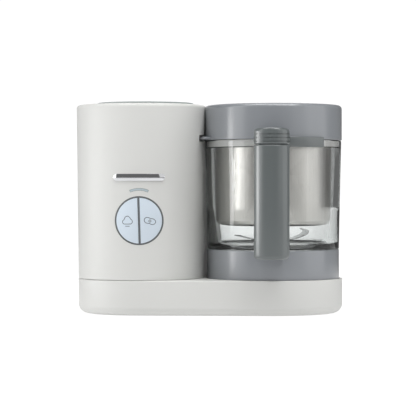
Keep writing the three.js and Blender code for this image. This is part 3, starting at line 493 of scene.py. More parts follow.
def piece(obj, body, material, replaces=(), angle=35):
    """Finish a piece: smooth it, paint it and let it ride on its body."""
    smooth(obj, angle)
    paint(obj, material)
    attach(obj, body)
    if replaces:
        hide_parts(*replaces)


# ---- base ----
BASE_FILLET, TOP_ROUND = 10.7, 1.6
RIM_WIDTH, MOUTH_Z0, MOUTH_Z1 = 13.5, 1, 8
DECK_Z, DECK_R = 36.0, 80.5
THROAT_R, THROAT_WALL_R = 70, 83.3
BOSS_R0, BOSS_R1, BOSS_TOP = 34, 37, 44
SPINDLE_HOLE_R = 12.1
GLAND_Z, GLAND_HOLE_R = 24, 6.4
LUG_BEARINGS = (30, 150, 270)


def pill(inset, z, steps=72):
    """Plan of the base: two unequal half rounds, about the tower's axis and the bowl's."""
    left, right = BASE_R_LEFT - inset, BASE_R_RIGHT - inset
    turn = math.acos((left - right) / (BOWL_X - TOWER_X))
    points = []
    for i in range(steps + 1):
        a = -turn + 2 * turn * i / steps
        points.append((BOWL_X + right * math.cos(a), AXIS_Y + BASE_DEPTH * right * math.sin(a), z))
    for i in range(steps + 1):
        a = turn + (2 * math.pi - 2 * turn) * i / steps
        points.append((TOWER_X + left * math.cos(a), AXIS_Y + BASE_DEPTH * left * math.sin(a), z))
    return points


def lower_round(inset, radius, steps):
    """Rings of the base's rounded lower edge, inset from its outside."""
    return [
        pill(inset + radius * (1 - math.sin(a)), BASE_Z0 + inset + radius * (1 - math.cos(a)))
        for a in quarter_turn(steps)
    ]


def lay_at_rear(obj):
    """Lay a piece turned about z along y, at the cord's entry."""
    obj.data.transform(Matrix.Rotation(math.radians(90), 4, "X"))
    obj.data.transform(Matrix.Translation(Vector((TOWER_X, AXIS_Y, GLAND_Z)) * MM))
    return obj


def make_base():
    """Shell open below, with a throat up into the tower and a sunk deck that the bowl stands on.

    Here and below, a tool's ends reach a little past what it cuts.
    """
    upper_round = [
        pill(TOP_ROUND * (1 - math.cos(a)), BASE_TOP - TOP_ROUND + TOP_ROUND * math.sin(a))
        for a in quarter_turn(6)
    ]
    shell = loft("base_shell", lower_round(0, BASE_FILLET, 12) + upper_round)
    hollow = loft("hollow", lower_round(WALL, BASE_FILLET - WALL, 6) + [pill(WALL, DECK_Z - WALL)])
    mouth = loft("mouth", [pill(RIM_WIDTH, MOUTH_Z0), pill(RIM_WIDTH, MOUTH_Z1)])
    throat = carve(cylinder("throat", THROAT_R, 30, 44, TOWER_X),
                   cylinder("wall", THROAT_WALL_R, 29, 45, BOWL_X))
    deck = lathe("deck", [(0, DECK_Z), (DECK_R, DECK_Z, 1.2), (DECK_R, 46), (0, 46)], BOWL_X, 192)
    gland = lay_at_rear(cylinder("gland_hole", GLAND_HOLE_R, -80, -60, 0, 0, 32))
    spindle_hole = cylinder("spindle_hole", SPINDLE_HOLE_R, 30, 40, BOWL_X)
    carve(shell, hollow, mouth, throat, deck, gland, spindle_hole)
    boss = [(BOSS_R0, DECK_Z - 1), (BOSS_R1, DECK_Z - 1), (BOSS_R1, BOSS_TOP, 0.8), (BOSS_R0, BOSS_TOP, 0.8)]
    return fuse(shell, lathe("deck_boss", boss, BOWL_X, 96, loop=True))


piece(make_base(), "housing", WHITE, ["base_housing"])
for i, bearing in enumerate(LUG_BEARINGS, 1):
    lug = sector(f"deck_lug_{i}", 36.5, 39.6, 41.4, BOSS_TOP, bearing - 11, bearing + 11)
    piece(bevel(lug, 0.4), "housing", WHITE)

for name in ("rear_left", "front_left", "rear_right", "front_right"):
    place = middle(f"foot_{name}")
    foot = lathe(f"rubber_foot_{name}", [
        (0, 0.4), (4, 0.4, 0.5), (5, 0, 0.4), (9, 0, 1.2), (9, 2.7, 0.4), (0, 2.7),
    ], place.x, 64, y=place.y)
    piece(foot, "housing", RUBBER, [f"foot_{name}"])

grommet = lathe("cord_grommet", [
    (3.6, -69.4, 0.3), (3.6, -79.6, 0.8), (7, -79.6, 0.8), (8.5, -78.2, 0.8), (8.5, -75.9, 0.3),
    (6, -75.9), (6, -71.2), (8, -71.2, 0.3), (8, -69.4, 0.5),
], 0, 64, loop=True, y=0)
piece(lay_at_rear(grommet), "housing", RUBBER, ["cord_gland"])

# ---- tower ----
TOWER_FILLET = 4.0
RECESS_R = 83.5
WING_R, WING_REACH, WING_BEARING = 5.0, 89.0, 158
SLOT_Z0, SLOT_Z1, SLOT_R = 204.4, 212.4, 94.0
PLUNGER_BEARING, PLUNGER_HOLE_R = 189.5, 2.1
WELL_MOUTH_R = 58.3
BUTTON_R = 28.1
LENS_Z, LENS_R, LENS_WIDTH, LENS_SPAN = 120.0, 28.0, 2.2, 44


def through_front(name, outline):
    """Front-view outline run through the front wall of the tower."""
    return prism(name, outline, AXIS_Y - 92, AXIS_Y - 58)


def lens_outline(grow=0.0):
    """The indicator's bowed outline above the buttons, grown for its hole."""
    half = LENS_SPAN / 2 + math.degrees(grow / LENS_R)
    outer, inner = LENS_R + LENS_WIDTH / 2 + grow, LENS_R - LENS_WIDTH / 2 - grow
    upper, lower = (arc(TOWER_X, LENS_Z, r, 90 - half, 90 + half, 32) for r in (outer, inner))
    return upper + lower[::-1]


def tower_plan(radius, inset, z, steps=240, tip_steps=16):
    """Plan of the tower: a circle drawn out into a round-edged wing behind the bowl."""
    tip_x = BOWL_X + WING_REACH * math.cos(math.radians(WING_BEARING))
    tip_y = WING_REACH * math.sin(math.radians(WING_BEARING))
    away = math.hypot(tip_x - TOWER_X, tip_y)
    heading = math.atan2(tip_y, tip_x - TOWER_X)
    turn = math.acos((radius - WING_R) / away)
    r, tip_r = radius - inset, WING_R - inset
    points = []
    for i in range(steps + 1):
        a = heading + turn + (2 * math.pi - 2 * turn) * i / steps
        points.append((TOWER_X + r * math.cos(a), AXIS_Y + r * math.sin(a), z))
    for i in range(tip_steps + 1):
        a = heading - turn + 2 * turn * i / tip_steps
        points.append((tip_x + tip_r * math.cos(a), AXIS_Y + tip_y + tip_r * math.sin(a), z))
    return points


def make_tower():
    """Shell open below, with the bowl's recess, the tank's mouth, the lid's slot and the controls' holes."""
    shoulder = TOWER_TOP - TOWER_FILLET
    r = tower_radius(shoulder)
    rings = [tower_plan(TOWER_R0, 0.4, TOWER_Z0), tower_plan(TOWER_R0, 0, TOWER_Z0 + 0.4)]
    for a in quarter_turn(8):
        rings.append(tower_plan(r, TOWER_FILLET * (1 - math.cos(a)), shoulder + TOWER_FILLET * math.sin(a)))
    shell = loft("tower_body", rings)
    hollow = loft("hollow", [
        tower_plan(TOWER_R0, WALL, 40, 96), tower_plan(TOWER_R1, WALL, 241, 96),
        tower_plan(TOWER_R1, WALL + 2, TOWER_TOP - WALL, 96),
    ])
    carve(hollow, cylinder("wall", RECESS_R + WALL, 38, 250, BOWL_X, segments=192),
          sector("pocket", 80, 97, SLOT_Z0 - 2.4, SLOT_Z1 + 1.7, 181, 218))
    carve(shell, hollow, cylinder("recess", RECESS_R, 38, 252, BOWL_X, segments=256))
    carve(shell, cylinder("well_mouth", WELL_MOUTH_R, 240, 252, TANK_X, segments=192))
    carve(shell, sector("slot", 80, SLOT_R, SLOT_Z0, SLOT_Z1, 184, 222))
    slot_middle = (SLOT_Z0 + SLOT_Z1) / 2
    carve(shell, radial_pin("plunger_hole", PLUNGER_HOLE_R, 90, 100, slot_middle, PLUNGER_BEARING),
          radial_pin("outlet_hole", OUTLET_R, 80, 88, OUTLET_Z, OUTLET_BEARING))
    button_hole = circle(TOWER_X, BUTTON_Z, BUTTON_R + 0.3)
    for name, outline in (("button_hole", button_hole), ("lens_hole", lens_outline(0.3))):
        carve(shell, through_front(name, outline))
    return shell


piece(make_tower(), "housing", WHITE, ["tower_shell"], angle=30)

# ---- buttons, indicator and accent bar ----
BUTTON_TILT = math.radians(1.7)
RING_WIDTH, DIVIDER_HALF, BUTTON_PLAY = 1.3, 1.0, 0.3
SKIN_Z0, SKIN_Z1 = 70, 152
BAR_HALF, BAR_Z0, BAR_Z1, BAR_CORNER = 30, 158, 166, 3.99


def half_disc(side, radius, gap, steps=64):
    """Outline of one half-moon, a gap away from the tilted middle line."""
    start = math.asin(gap / radius)
    c, s = math.cos(BUTTON_TILT), math.sin(BUTTON_TILT)
    points = []
    for i in range(steps + 1):
        a = -math.pi / 2 + start + (math.pi - 2 * start) * i / steps
        x, z = side * radius * math.cos(a), radius * math.sin(a)
        points.append((TOWER_X + x * c - z * s, BUTTON_Z + x * s + z * c))
    return points


def follow_skin(name, outline, outer, inner, z0, z1):
    """The part of the tower's skin inside an outline, between two offsets from the skin."""
    return keep(through_front(name, outline), tower_skin("skin", outer, inner, z0, z1))


bezel = follow_skin("button_ring", circle(TOWER_X, BUTTON_Z, BUTTON_R), -0.15, -5.5, SKIN_Z0, SKIN_Z1)
for side in (-1, 1):
    carve(bezel, through_front("opening", half_disc(side, BUTTON_R - RING_WIDTH, DIVIDER_HALF)))
piece(bezel, "housing", RING, ["control_bezel"], angle=30)

for side, body in ((-1, "steam_button"), (1, "blend_button")):
    outline = half_disc(side, BUTTON_R - RING_WIDTH - BUTTON_PLAY, DIVIDER_HALF + BUTTON_PLAY)
    face = follow_skin(body + "_face", outline, 0.4, -3.2, SKIN_Z0, SKIN_Z1)
    piece(bevel(face, 0.35, 3, 50), body, PALE_BLUE, [body], angle=30)

bar_corners = (-BAR_HALF, BAR_Z0), (BAR_HALF, BAR_Z0), (BAR_HALF, BAR_Z1), (-BAR_HALF, BAR_Z1)
bar_outline = soften([(TOWER_X + x, z, BAR_CORNER) for x, z in bar_corners], 10, loop=True)
bar = bevel(follow_skin("accent_strip", bar_outline, 1.2, 0.3, 140, 190), 0.3, 2, 50)
piece(bar, "housing", CHROME, ["accent_bar"], angle=30)

lens = follow_skin("indicator_window", lens_outline(), 0.1, -2.6, 120, 170)
piece(lens, "housing", LENS, ["indicator_lens"], angle=30)

# ---- generic symbols printed on the buttons ----
INK_UNDER, INK_OVER, INK_WIDTH = 0.40, 0.46, 0.75
LOBES_X, LOBES_Z, HUB_R, HUB_INK_WIDTH = 12.6, -0.4, 1.3, 0.7


def inlay(name, path, width, body, loop=False):
    """Thin printed line laid on the button's curved face; path is (x, z) about the button disc."""
    count = len(path)
    bm = bmesh.new()
    rows = []
    for i, (x, z) in enumerate(path):
        before = path[(i - 1) % count] if (loop or i) else path[i]
        after = path[(i + 1) % count] if (loop or i < count - 1) else path[i]
        along = Vector((after[0] - before[0], after[1] - before[1])).normalized()
        across = Vector((-along.y, along.x)) * width / 2
        row = []
        for sign, lift in ((-1, INK_UNDER), (-1, INK_OVER), (1, INK_OVER), (1, INK_UNDER)):
            px, pz = TOWER_X + x + sign * across.x, BUTTON_Z + z + sign * across.y
            row.append(bm.verts.new(Vector((px, tower_front(px, pz, lift), pz)) * MM))
        rows.append(row)
    pairs = list(zip(rows, rows[1:]))
    if loop:
        pairs.append((rows[-1], rows[0]))
    for a, b in pairs:
        for i in range(4):
            j = (i + 1) % 4
            bm.faces.new((a[i], a[j], b[j], b[i]))
    if not loop:
        bm.faces.new(rows[0])
        bm.faces.new(rows[-1])
    piece(add_object(name, bm), body, ICON)


def lobes():
    """A tilted outline with two lobes."""
    tilt = math.radians(16)
    points = []
    for a in full_turn(72):
        r = 3.1 + 3.6 * math.cos(a) ** 2
        x, z = r * math.cos(a), r * math.sin(a) * 0.95
        points.append((LOBES_X + x * math.cos(tilt) + z * math.sin(tilt),
                       LOBES_Z - x * math.sin(tilt) + z * math.cos(tilt)))
    return points


puffs = ((-16.6, -1.4, 2.6, 270, 110), (-13.6, 1.9, 3.3, 150, 30), (-10.6, -1.0, 2.9, 70, -90))
cloud = [point for puff in puffs for point in arc(*puff, 14)]
inlay("steam_symbol", cloud, INK_WIDTH, "steam_button", loop=True)
inlay("steam_symbol_base", [(x, -6.4) for x in (-16.0, -13.5, -11.0)], INK_WIDTH, "steam_button")
inlay("blend_symbol", lobes(), INK_WIDTH, "blend_button", loop=True)
inlay("blend_symbol_hub", arc(LOBES_X, LOBES_Z, HUB_R, 0, 345, 20), HUB_INK_WIDTH, "blend_button", loop=True)

# ---- water tank ----
CAP_Z0, CAP_TOP = low("tank_cap").z, high("tank_cap").z
HINGE_Y = AXIS_Y + 45.5
HINGE_Z = (CAP_Z0 + CAP_TOP) / 2
KNUCKLE_R, KNUCKLE_HALF = 1.8, 25
EYE_INNER, EYE_OUTER, EYE_INSET = 25.4, 29, 0.05
TANK_R, TANK_RIM_R, TANK_RIM_Z = 53, 57.6, 247

well = lathe("well_liner", [
    (0, 214.5), (55.8, 214.5, 2), (55.8, 241.5), (60.4, 241.5), (60.4, 245.4), (58.4, 245.4, 0.4),
    (58.4, 243.5), (53.8, 243.5, 0.5), (53.8, 216.3, 1.5), (4.5, 216.3, 0.4), (4.5, 215.6), (0, 215.6),
], TANK_X, 192)
fuse(well, cylinder("spigot", 4, 205, 215.2, TANK_X))
piece(well, "housing", INNER_WHITE, ["tank_well"])


def make_tank():
    """Open vessel with a raised rear rim that carries the cap's two hinge eyes."""
    cup = lathe("tank_vessel", [
        (3, 217.5, 0.3), (TANK_R, 217.5, 3), (TANK_R, 243.8), (TANK_RIM_R, 243.8, 0.5),
        (TANK_RIM_R, TANK_RIM_Z, 0.4), (TANK_R - 2, TANK_RIM_Z, 0.6), (TANK_R - 2, 219.5, 3), (3, 219.5, 0.3),
    ], TANK_X, 192, loop=True)
    rim = [(0, TANK_RIM_Z - 1), (TANK_RIM_R, TANK_RIM_Z - 1), (TANK_RIM_R, CAP_TOP, 0.9), (0, CAP_TOP)]
    rear = lathe("rear", rim, TANK_X, 192)
    keep(rear, block("back_part", TANK_X - 60, TANK_X + 60, HINGE_Y + 2.2, AXIS_Y + 70, 245, 252))
    fuse(cup, rear)
    for side in (-1, 1):
        x0, x1 = sorted((TANK_X + side * EYE_INNER, TANK_X + side * EYE_OUTER))
        lug = bevel(block("lug", x0, x1, HINGE_Y, HINGE_Y + 3, 247.35, CAP_TOP), 0.3)
        fuse(cup, lug, bar_x("eye", KNUCKLE_R, x0 + EYE_INSET, x1 - EYE_INSET, HINGE_Y, HINGE_Z))
    return cup


def make_cap():
    """Round cover with a shallow dish, cut straight at the rear where its knuckle turns."""
    plate = lathe("tank_cover", [
        (0, CAP_Z0), (57.8, CAP_Z0, 0.3), (57.8, CAP_TOP, 1.1), (50, CAP_TOP, 1), (48.6, CAP_TOP - 0.7, 1),
        (0, CAP_TOP - 0.7),
    ], TANK_X, 192)
    carve(plate, block("rear_cut", TANK_X - 70, TANK_X + 70, HINGE_Y - 2.3, AXIS_Y + 80, 240, 260))
    left, right = TANK_X - KNUCKLE_HALF, TANK_X + KNUCKLE_HALF
    return fuse(plate, bar_x("knuckle", KNUCKLE_R, left, right, HINGE_Y, HINGE_Z),
                block("neck", left, right, HINGE_Y - 4, HINGE_Y, CAP_Z0 + 0.05, CAP_TOP - 0.05),
                bar_x("pin", 1.0, TANK_X - 28.6, TANK_X + 28.6, HINGE_Y, HINGE_Z, 24))


piece(make_tank(), "tank", INNER_WHITE, ["tank_cup"])
piece(make_cap(), "tank_cap", CAP, ["tank_cap"])
valve = lathe("valve_stem", [
    (0, 216.6), (2.2, 216.6, 0.5), (2.2, 221.6), (5.5, 221.6, 0.4), (5.5, 223.4, 0.7), (0, 223.4),
], TANK_X, 48)
piece(valve, "tank_valve", SILICONE, ["tank_valve"])

# ---- bowl ----
COLLAR_R = high("jar_collar").x - BOWL_X
COLLAR_Z0, COLLAR_TOP = low("jar_collar").z, high("jar_collar").z
JAR_LEDGE = high("basket_body").z
BASKET_Z0, BASKET_R = low("basket_body").z, 69.0
BASKET_HOLE_R, HOLE_RINGS = 1.6, ((12, 6), (24, 12), (36, 18), (48, 24), (59, 30))

jar = lathe("glass_bowl", [
    (14.2, 69, 0.4), (52, 69, 2), (54, 66, 1), (75, 66, 3), (75, 77, 0.5), (79, 77, 0.6), (79.7, 116, 60),
    (81.7, 204.9, 1), (81.0, JAR_TOP, 0.8), (79.4, JAR_TOP, 0.6), (79.2, JAR_LEDGE, 0.5),
    (74.6, JAR_LEDGE, 0.8), (73.8, 165, 80), (72.2, 125, 60), (66.4, 84, 12), (63, 78, 5), (57, 76, 6),
    (14.2, 76, 0.6),
], BOWL_X, 256, loop=True, steps=8)
piece(jar, "bowl", GLASS, ["jar_glass"])

collar = lathe("bowl_base", [
    (76, COLLAR_Z0, 0.5), (COLLAR_R, COLLAR_Z0, 0.8), (COLLAR_R, COLLAR_TOP, 1.0), (75.4, COLLAR_TOP, 0.4),
    (75.4, 63.5), (14.2, 63.5), (14.2, 60), (76, 60),
], BOWL_X, 256, loop=True)
skirt = [(40.6, 37.4, 0.4), (43, 37.4, 0.4), (43, 60.5), (40.6, 60.5)]
fuse(collar, lathe("skirt", skirt, BOWL_X, 96, loop=True))
piece(collar, "bowl", BLUE_GREY, ["jar_collar"])
for i, bearing in enumerate(LUG_BEARINGS, 1):
    lug = sector(f"collar_lug_{i}", 37.5, 41.5, 37.4, 40.9, bearing - 10, bearing + 6)
    piece(bevel(lug, 0.4), "bowl", BLUE_GREY)

gasket = [(60, 63.8, 0.6), (72, 63.8, 0.6), (72, 65.7, 0.6), (60, 65.7, 0.6)]
piece(lathe("bowl_seal", gasket, BOWL_X, 160, loop=True), "bowl", RUBBER, ["jar_gasket"])

bush = lathe("blade_bush", [
    (4.08, 54.6, 0.3), (9, 54.6, 0.5), (13.8, 59), (13.8, 76.3), (21, 76.3, 0.3), (19, 78.6, 0.6),
    (4.08, 78.6, 0.3),
], BOWL_X, 96, loop=True)
piece(bush, "bowl", BRASS, ["blade_bearing"])


def joined(objects):
    bpy.ops.object.select_all(action="DESELECT")
    for obj in objects:
        obj.select_set(True)
    bpy.context.view_layer.objects.active = objects[0]
    bpy.ops.object.join()
    return objects[0]


def make_basket():
    """Thin steel cup with rings of holes in its floor."""
    cup = lathe("steel_basket", [
        (0, BASKET_Z0), (63, BASKET_Z0, 3), (67.2, BASKET_Z0 + 1.8, 3), (BASKET_R, BASKET_Z0 + 6, 4),
        (BASKET_R, JAR_LEDGE, 0.2), (BASKET_R - 1, JAR_LEDGE, 0.2), (BASKET_R - 1, BASKET_Z0 + 6.2, 4),
        (66.6, BASKET_Z0 + 2.8, 3), (63, BASKET_Z0 + 1, 3), (0, BASKET_Z0 + 1),
    ], BOWL_X, 192)
    holes = []
    for r, count in HOLE_RINGS:
        for a in full_turn(count):
            x, y = BOWL_X + r * math.cos(a), AXIS_Y + r * math.sin(a)
            holes.append(cylinder("hole", BASKET_HOLE_R, BASKET_Z0 - 2, BASKET_Z0 + 3, x, y, 12))
    return carve(cup, joined(holes))


piece(make_basket(), "bowl", STEEL, ["basket_body"])
rim = lathe("basket_ring", [
    (66, 198, 0.4), (78.4, 198, 0.6), (78.4, 205.8, 0.8), (75.5, 205.8, 0.8), (74.5, 200.2, 1),
    (66, 200.2, 0.6),
], BOWL_X, 224, loop=True)
piece(rim, "bowl", RIM_WHITE, ["basket_rim"])

# ---- handle ----
HANDLE_IN, HANDLE_OUT, HANDLE_HALF = 106.0, 127.95, 20.4
HANDLE_BULGE, HANDLE_BACK_R, HANDLE_EASE = 15.0, 3.0, 1.5
BACK_STEPS = 8
HANDLE_Z0, HANDLE_TOP = low("handle_grip").z, 198.8
ARM_WIDTH = 30
GLASS_R = 81.9


def grip_section(half, inset, z, steps=40):
    """Level section of the grip: a rounded front, flat sides and a softer back, turned to the handle."""
    front = HANDLE_OUT - inset - HANDLE_BULGE
    points = []
    for i in range(steps + 1):
        a = math.radians(-90 + 180 * i / steps)
        points.append((half * math.sin(a), -front - HANDLE_BULGE * math.cos(a)))
    for side, start in ((1, 0), (-1, 90)):
        for i in range(BACK_STEPS + 1):
            a = math.radians(start + 90 * i / BACK_STEPS)
            x = side * (half - HANDLE_BACK_R) + HANDLE_BACK_R * math.cos(a)
            points.append((x, HANDLE_BACK_R * (math.sin(a) - 1) - HANDLE_IN - inset))
    turn = math.radians(HANDLE_BEARING + 90)
    c, s = math.cos(turn), math.sin(turn)
    return [(BOWL_X + x * c - y * s, AXIS_Y + x * s + y * c, z) for x, y in points]


def grip_bar(name, z0, z1, top_radius, lower_radius, steps=12):
    """Upright bar in front of the bowl: it widens over its rounded foot and narrows over its rounded top."""
    rings = []
    for end, up, radius in ((z0, 1, lower_radius), (z1, -1, top_radius)):
        for a in quarter_turn(steps)[::-up]:
            narrow = radius * (1 - math.cos(a))
            ease = min(HANDLE_EASE, radius) * (1 - math.cos(a))
            rings.append(grip_section(HANDLE_HALF - narrow, ease, end + up * radius * (1 - math.sin(a))))
    return loft(name, rings)


def grip_part(name, width, r0, r1, z0, z1, rounding):
    """Small bar of the handle behind the grip."""
    part = bevel(spoke(name, r0, r1, width, z0, z1, HANDLE_BEARING), rounding)
    piece(part, "bowl", GRIP)


piece(grip_bar("grip", HANDLE_Z0, HANDLE_TOP, 1.2, 5.0), "bowl", GRIP, ["handle_grip"])
lower_arm = carve(spoke("grip_lower_arm", 70, 110, ARM_WIDTH, HANDLE_Z0 + 1, 76.4, HANDLE_BEARING),
                  cylinder("collar_face", COLLAR_R + 0.3, 60, 80, BOWL_X, segments=192))
upper_arm = carve(spoke("grip_upper_arm", 70, 110, ARM_WIDTH, 179, 193, HANDLE_BEARING),
                  cylinder("glass_face", GLASS_R, 170, 200, BOWL_X, segments=192))
for arm in (lower_arm, upper_arm):
    piece(bevel(arm, 0.8), "bowl", GRIP)
grip_part("grip_post", ARM_WIDTH, 95, 104.4, 190, 204.5, 0.6)
grip_part("grip_keeper", 36, 88, 96, 201.2, 204.5, 0.5)

# ---- blade ----
WING_STEPS, WING_SPLITS = 40, 6
WING_ROOT, WING_SPAN, WING_SWEEP = 10, 51, 52
ROOT_HALF, TIP_HALF, BELLY, TIP_POINT = 8.5, 3.2, 4, 0.25
LEVEL_R, RISING_LENGTH = 14, 47
WING_Z, WING_RISE, WING_THICK = 84, 8.5, 1.4
THINNED_TOP, THINNED_BOTTOM = 0.5, 0.2


def wing_height(r):
    """A wing is level near the hub and rises smoothly to its tip."""
    t = max(0.0, (r - LEVEL_R) / RISING_LENGTH)
    return WING_Z + WING_RISE * t * t * (3 - 2 * t)


def wing_skin(bm, turn, top):
    """Grid of vertices over the top or the bottom of one wing, thinner towards both edges."""
    rows = []
    for i in range(WING_STEPS + 1):
        t = i / WING_STEPS
        r = WING_ROOT + WING_SPAN * t
        sweep = math.radians(WING_SWEEP * t * t)
        half = (ROOT_HALF * (1 - t) + TIP_HALF * t + BELLY * math.sin(math.pi * t)) / r
        if i == WING_STEPS:
            half *= TIP_POINT
        row = []
        for k in range(WING_SPLITS + 1):
            s = k / WING_SPLITS
            a = (sweep - half) + 2 * half * s + turn
            near_edge = (abs(s - 0.5) * 2) ** 4
            lift = WING_THICK - THINNED_TOP * near_edge if top else THINNED_BOTTOM * near_edge
            z = wing_height(r) + lift
            row.append(bm.verts.new(Vector((BOWL_X + r * math.cos(a), AXIS_Y + r * math.sin(a), z)) * MM))
        rows.append(row)
    return rows


def make_wings():
    """Two opposite wings, each closed between its two skins."""
    bm = bmesh.new()
    turns = (0, math.pi)
    bottoms, tops = ([wing_skin(bm, turn, top) for turn in turns] for top in (False, True))
    for bottom, top in zip(bottoms, tops):
        for rows in (bottom, top):
            for a, b in zip(rows, rows[1:]):
                for k in range(WING_SPLITS):
                    bm.faces.new((a[k], a[k + 1], b[k + 1], b[k]))
        for k in (0, WING_SPLITS):
            for i in range(WING_STEPS):
                bm.faces.new((bottom[i][k], bottom[i + 1][k], top[i + 1][k], top[i][k]))
        for i in (0, WING_STEPS):
            for k in range(WING_SPLITS):
                bm.faces.new((bottom[i][k], bottom[i][k + 1], top[i][k + 1], top[i][k]))
    return add_object("blade_wing_pair", bm)


piece(make_wings(), "blade", BLADE_STEEL, ["blade_wings"], angle=45)
disc = [(8.3, WING_Z), (13.5, WING_Z), (13.5, WING_Z + WING_THICK), (8.3, WING_Z + WING_THICK)]
piece(lathe("wing_centre", disc, BOWL_X, 96, loop=True), "blade", BLADE_STEEL)
hub = lathe("blade_cap", [
    (0, 90), (4.3, 90), (4.3, 79), (14, 79, 0.6), (14, 83.7, 0.6), (8, 83.7), (8, 86.2, 0.8), (6.5, 93, 2),
    (0, 94.5),
], BOWL_X, 96)
piece(hub, "blade", DARK, ["blade_hub"])

# ---- lid ----
LID_WALL = 3
TAB_Z0, TAB_TOP = 199.6, 219.5
TAB_DROP = 1.4
GROOVES, GROOVE_TALL, GROOVE_DEEP = (202.2, 206.3, 210.4), 1.1, 0.9
TONGUE_R0, TONGUE_R1, TONGUE_Z0, TONGUE_Z1 = 82.9, 85.9, 197, 209
TONGUE_START, TONGUE_END, TOE_END = -98, -48, -80
EAR_R, EAR_Z0, EAR_Z1, EAR_START, EAR_END = 92, 207, 210, 188, 206
VENT_R, VENT_RING_R = 2.5, 20


def grip_groove(z):
    """Tool for one groove round the front of the thumb tab."""
    slab = spoke("groove", HANDLE_OUT - HANDLE_BULGE, HANDLE_OUT + 4, 60, z, z + GROOVE_TALL, HANDLE_BEARING)
    core = [grip_section(HANDLE_HALF - GROOVE_DEEP, GROOVE_DEEP, level) for level in (z - 1, z + 2)]
    return carve(slab, loft("core", core))


lid = lathe("lid_shell", [
    (0, LID_TOP - LID_WALL), (LID_R - LID_WALL, LID_TOP - LID_WALL, 2), (LID_R - LID_WALL, LID_Z0, 0.5),
    (LID_R, LID_Z0, 0.7), (LID_R, LID_TOP, 4.8), (0, LID_TOP),
], BOWL_X, 256, steps=10)
carve(lid, radial_pin("steam_inlet", INLET_R, 75, 86, OUTLET_Z, OUTLET_BEARING))
piece(lid, "lid", BLUE_GREY, ["lid_cover"])

tab = grip_bar("lid_thumb_tab", TAB_Z0, TAB_TOP - TAB_DROP, 4.2, 1.2)
piece(carve(tab, *[grip_groove(z) for z in GROOVES]), "lid", GRIP)
arm = carve(spoke("lid_tab_arm", 70, 110, ARM_WIDTH, 209.5, TAB_TOP - 1, HANDLE_BEARING),
            cylinder("lid_face", LID_R - 1, 200, 240, BOWL_X, segments=192))
piece(bevel(arm, 0.8), "lid", BLUE_GREY)
tongue = sector("lid_tongue", TONGUE_R0, TONGUE_R1, TONGUE_Z0, TONGUE_Z1, TONGUE_START, TONGUE_END, 48)
root = sector("lid_tongue_root", LID_R - 1, 83.5, 206.8, TONGUE_Z1, TONGUE_START, TONGUE_END, 48)
toe = sector("lid_toe", 85, 90.4, TONGUE_Z0, 200.4, TONGUE_START, TOE_END)
for part in (bevel(tongue, 0.7, 3), root, bevel(toe, 0.5)):
    piece(part, "lid", GRIP)
ear = sector("lid_ear", LID_R - 1, EAR_R, EAR_Z0, EAR_Z1, EAR_START, EAR_END)
piece(bevel(ear, 0.5, 3), "lid", BLUE_GREY)


def make_liner():
    """Inner plate that closes the lid's steam space, with the steam's inlet and six vents."""
    liner = lathe("steam_plate", [
        (0, 209.3), (78.9, 209.3, 1), (78.9, 244.6, 0.4), (77, 244.6, 0.4), (77, 211.3, 1), (0, 211.3),
    ], BOWL_X, 192)
    carve(liner, radial_pin("liner_inlet", INLET_R, 70, 82, OUTLET_Z, OUTLET_BEARING))
    for degrees in range(0, 360, 60):
        a = math.radians(degrees)
        x, y = BOWL_X + VENT_RING_R * math.cos(a), AXIS_Y + VENT_RING_R * math.sin(a)
        carve(liner, cylinder("vent", VENT_R, 205, 215, x, y, 32))
    return liner


piece(make_liner(), "lid", INNER_WHITE, ["lid_liner"])
seal = lathe("lid_gasket", [
    (73, 206.2, 0.3), (76, 206.2, 0.5), (78.9, 207, 0.3), (78.9, 209, 0.3), (73, 209, 0.3),
], BOWL_X, 192, loop=True)
piece(seal, "lid", SILICONE, ["lid_seal"])

# ---- the CAD nodes that are kept get their materials ----
slots = {row["node"]: row["material_slot"] for row in frame["record"]["subparts"]}
for name, obj in frame["nodes"].items():
    paint(obj, BY_SLOT[slots[name]])

# ---- stage: pale floor and soft light, in metres ----
FLOOR_GLOW, FLOOR_BOUNCE = 0.78, 0.5
FLOOR_LEFT, FLOOR_RIGHT, FLOOR_FRONT, FLOOR_BACK = -1.6, 1.2, -2.4, 0.8
CARD_LEFT, CARD_RIGHT, CARD_FOOT, CARD_TOP = -0.2, 0.26, 0.001, 0.7
ROOM_LIGHT, WHITE_GROUND = 0.15, 1.05
# name, azimuth, distance, height, height of its aim, width, tall, radiance
SOFTBOXES = (
    ("left_box", -86, 1.5, 0.2, 0.18, 0.75, 0.4, 6.0),
    ("left_wide", -62, 1.6, 0.62, 0.2, 0.8, 1.2, 1.5),
    ("right_box", 77, 1.5, 0.55, 0.3, 1.1, 1.2, 1.0),
    ("right_low", 47, 1.6, 0.6, 0.2, 0.9, 1.0, 0.6),
    ("right_fill", 30, 1.4, 1.6, 0.1, 1.1, 0.8, 2.4),
    ("top_box", 0, 0.05, 1.8, 0.0, 1.5, 1.5, 0.9),
    ("top_strip", 0, 0.55, 1.6, 0.15, 1.7, 0.7, 4.2),
)


def glowing(name):
    """Matt pale grey that gives off a little white light."""
    material, shader = new_material(name, (0.4, 0.4, 0.4), 0.6)
    shader.inputs["Emission Color"].default_value = (1, 1, 1, 1)
    link(material, spread(material, noise(material, 3.0), 0.55, 0.65), shader.inputs["Roughness"])
    return material, shader


def stage_plane(name, corners, material, seen=True):
    bm = bmesh.new()
    bm.faces.new([bm.verts.new(p) for p in corners])
    obj = add_object(name, bm)
    paint(obj, material)
    obj.visible_camera = seen


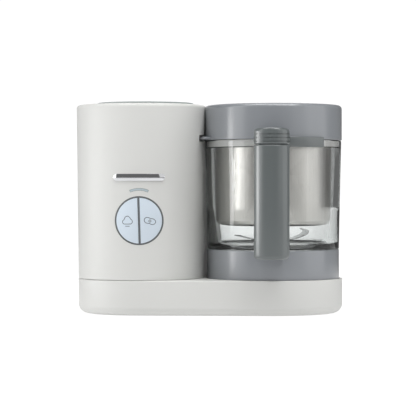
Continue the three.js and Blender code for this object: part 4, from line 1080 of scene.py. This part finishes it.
def make_stage():
    """Floor that looks brighter than it shines, and a card behind, seen only through glass or mirrored."""
    ground, shader = glowing("pale_ground")
    path = add_node(ground, "ShaderNodeLightPath")
    glow = add_node(ground, "ShaderNodeMapRange")
    glow.inputs["To Min"].default_value = FLOOR_BOUNCE
    glow.inputs["To Max"].default_value = FLOOR_GLOW
    link(ground, path.outputs["Is Camera Ray"], glow.inputs["Value"])
    link(ground, glow.outputs["Result"], shader.inputs["Emission Strength"])
    stage_plane("floor", [
        (FLOOR_LEFT, FLOOR_FRONT, 0), (FLOOR_RIGHT, FLOOR_FRONT, 0),
        (FLOOR_RIGHT, FLOOR_BACK, 0), (FLOOR_LEFT, FLOOR_BACK, 0),
    ], ground)
    pale, shader = glowing("pale_floor")
    shader.inputs["Emission Strength"].default_value = FLOOR_GLOW
    stage_plane("backdrop", [
        (CARD_LEFT, FLOOR_BACK, CARD_FOOT), (CARD_RIGHT, FLOOR_BACK, CARD_FOOT),
        (CARD_RIGHT, FLOOR_BACK, CARD_TOP), (CARD_LEFT, FLOOR_BACK, CARD_TOP),
    ], pale, seen=False)


def area_light(name, azimuth, distance, height, target_z, width, tall, radiance):
    """Softbox at an azimuth from the object: 0 is the camera's side, positive turns to the right."""
    data = bpy.data.lights.new(name, "AREA")
    data.shape = "RECTANGLE"
    data.size, data.size_y = width, tall
    data.energy = radiance * math.pi * width * tall
    obj = bpy.data.objects.new(name, data)
    bpy.context.scene.collection.objects.link(obj)
    a = math.radians(azimuth)
    spot = Vector((distance * math.sin(a), -distance * math.cos(a), height))
    obj.location = spot
    obj.rotation_euler = (Vector((0, 0, target_z)) - spot).to_track_quat("-Z", "Y").to_euler()


def make_world():
    """Dim white room light, with a white ground behind the object for the camera only."""
    world = bpy.data.worlds.new("world")
    bpy.context.scene.world = world
    world.use_nodes = True
    tree = world.node_tree
    room = tree.nodes["Background"]
    ground = tree.nodes.new("ShaderNodeBackground")
    for background, strength in ((room, ROOM_LIGHT), (ground, WHITE_GROUND)):
        background.inputs["Color"].default_value = (1, 1, 1, 1)
        background.inputs["Strength"].default_value = strength
    mix = tree.nodes.new("ShaderNodeMixShader")
    path = tree.nodes.new("ShaderNodeLightPath")
    tree.links.new(path.outputs["Is Camera Ray"], mix.inputs["Fac"])
    tree.links.new(room.outputs["Background"], mix.inputs[1])
    tree.links.new(ground.outputs["Background"], mix.inputs[2])
    tree.links.new(mix.outputs["Shader"], tree.nodes["World Output"].inputs["Surface"])


make_stage()
for softbox in SOFTBOXES:
    area_light(*softbox)
make_world()
bpy.context.scene.view_settings.view_transform = "Standard"
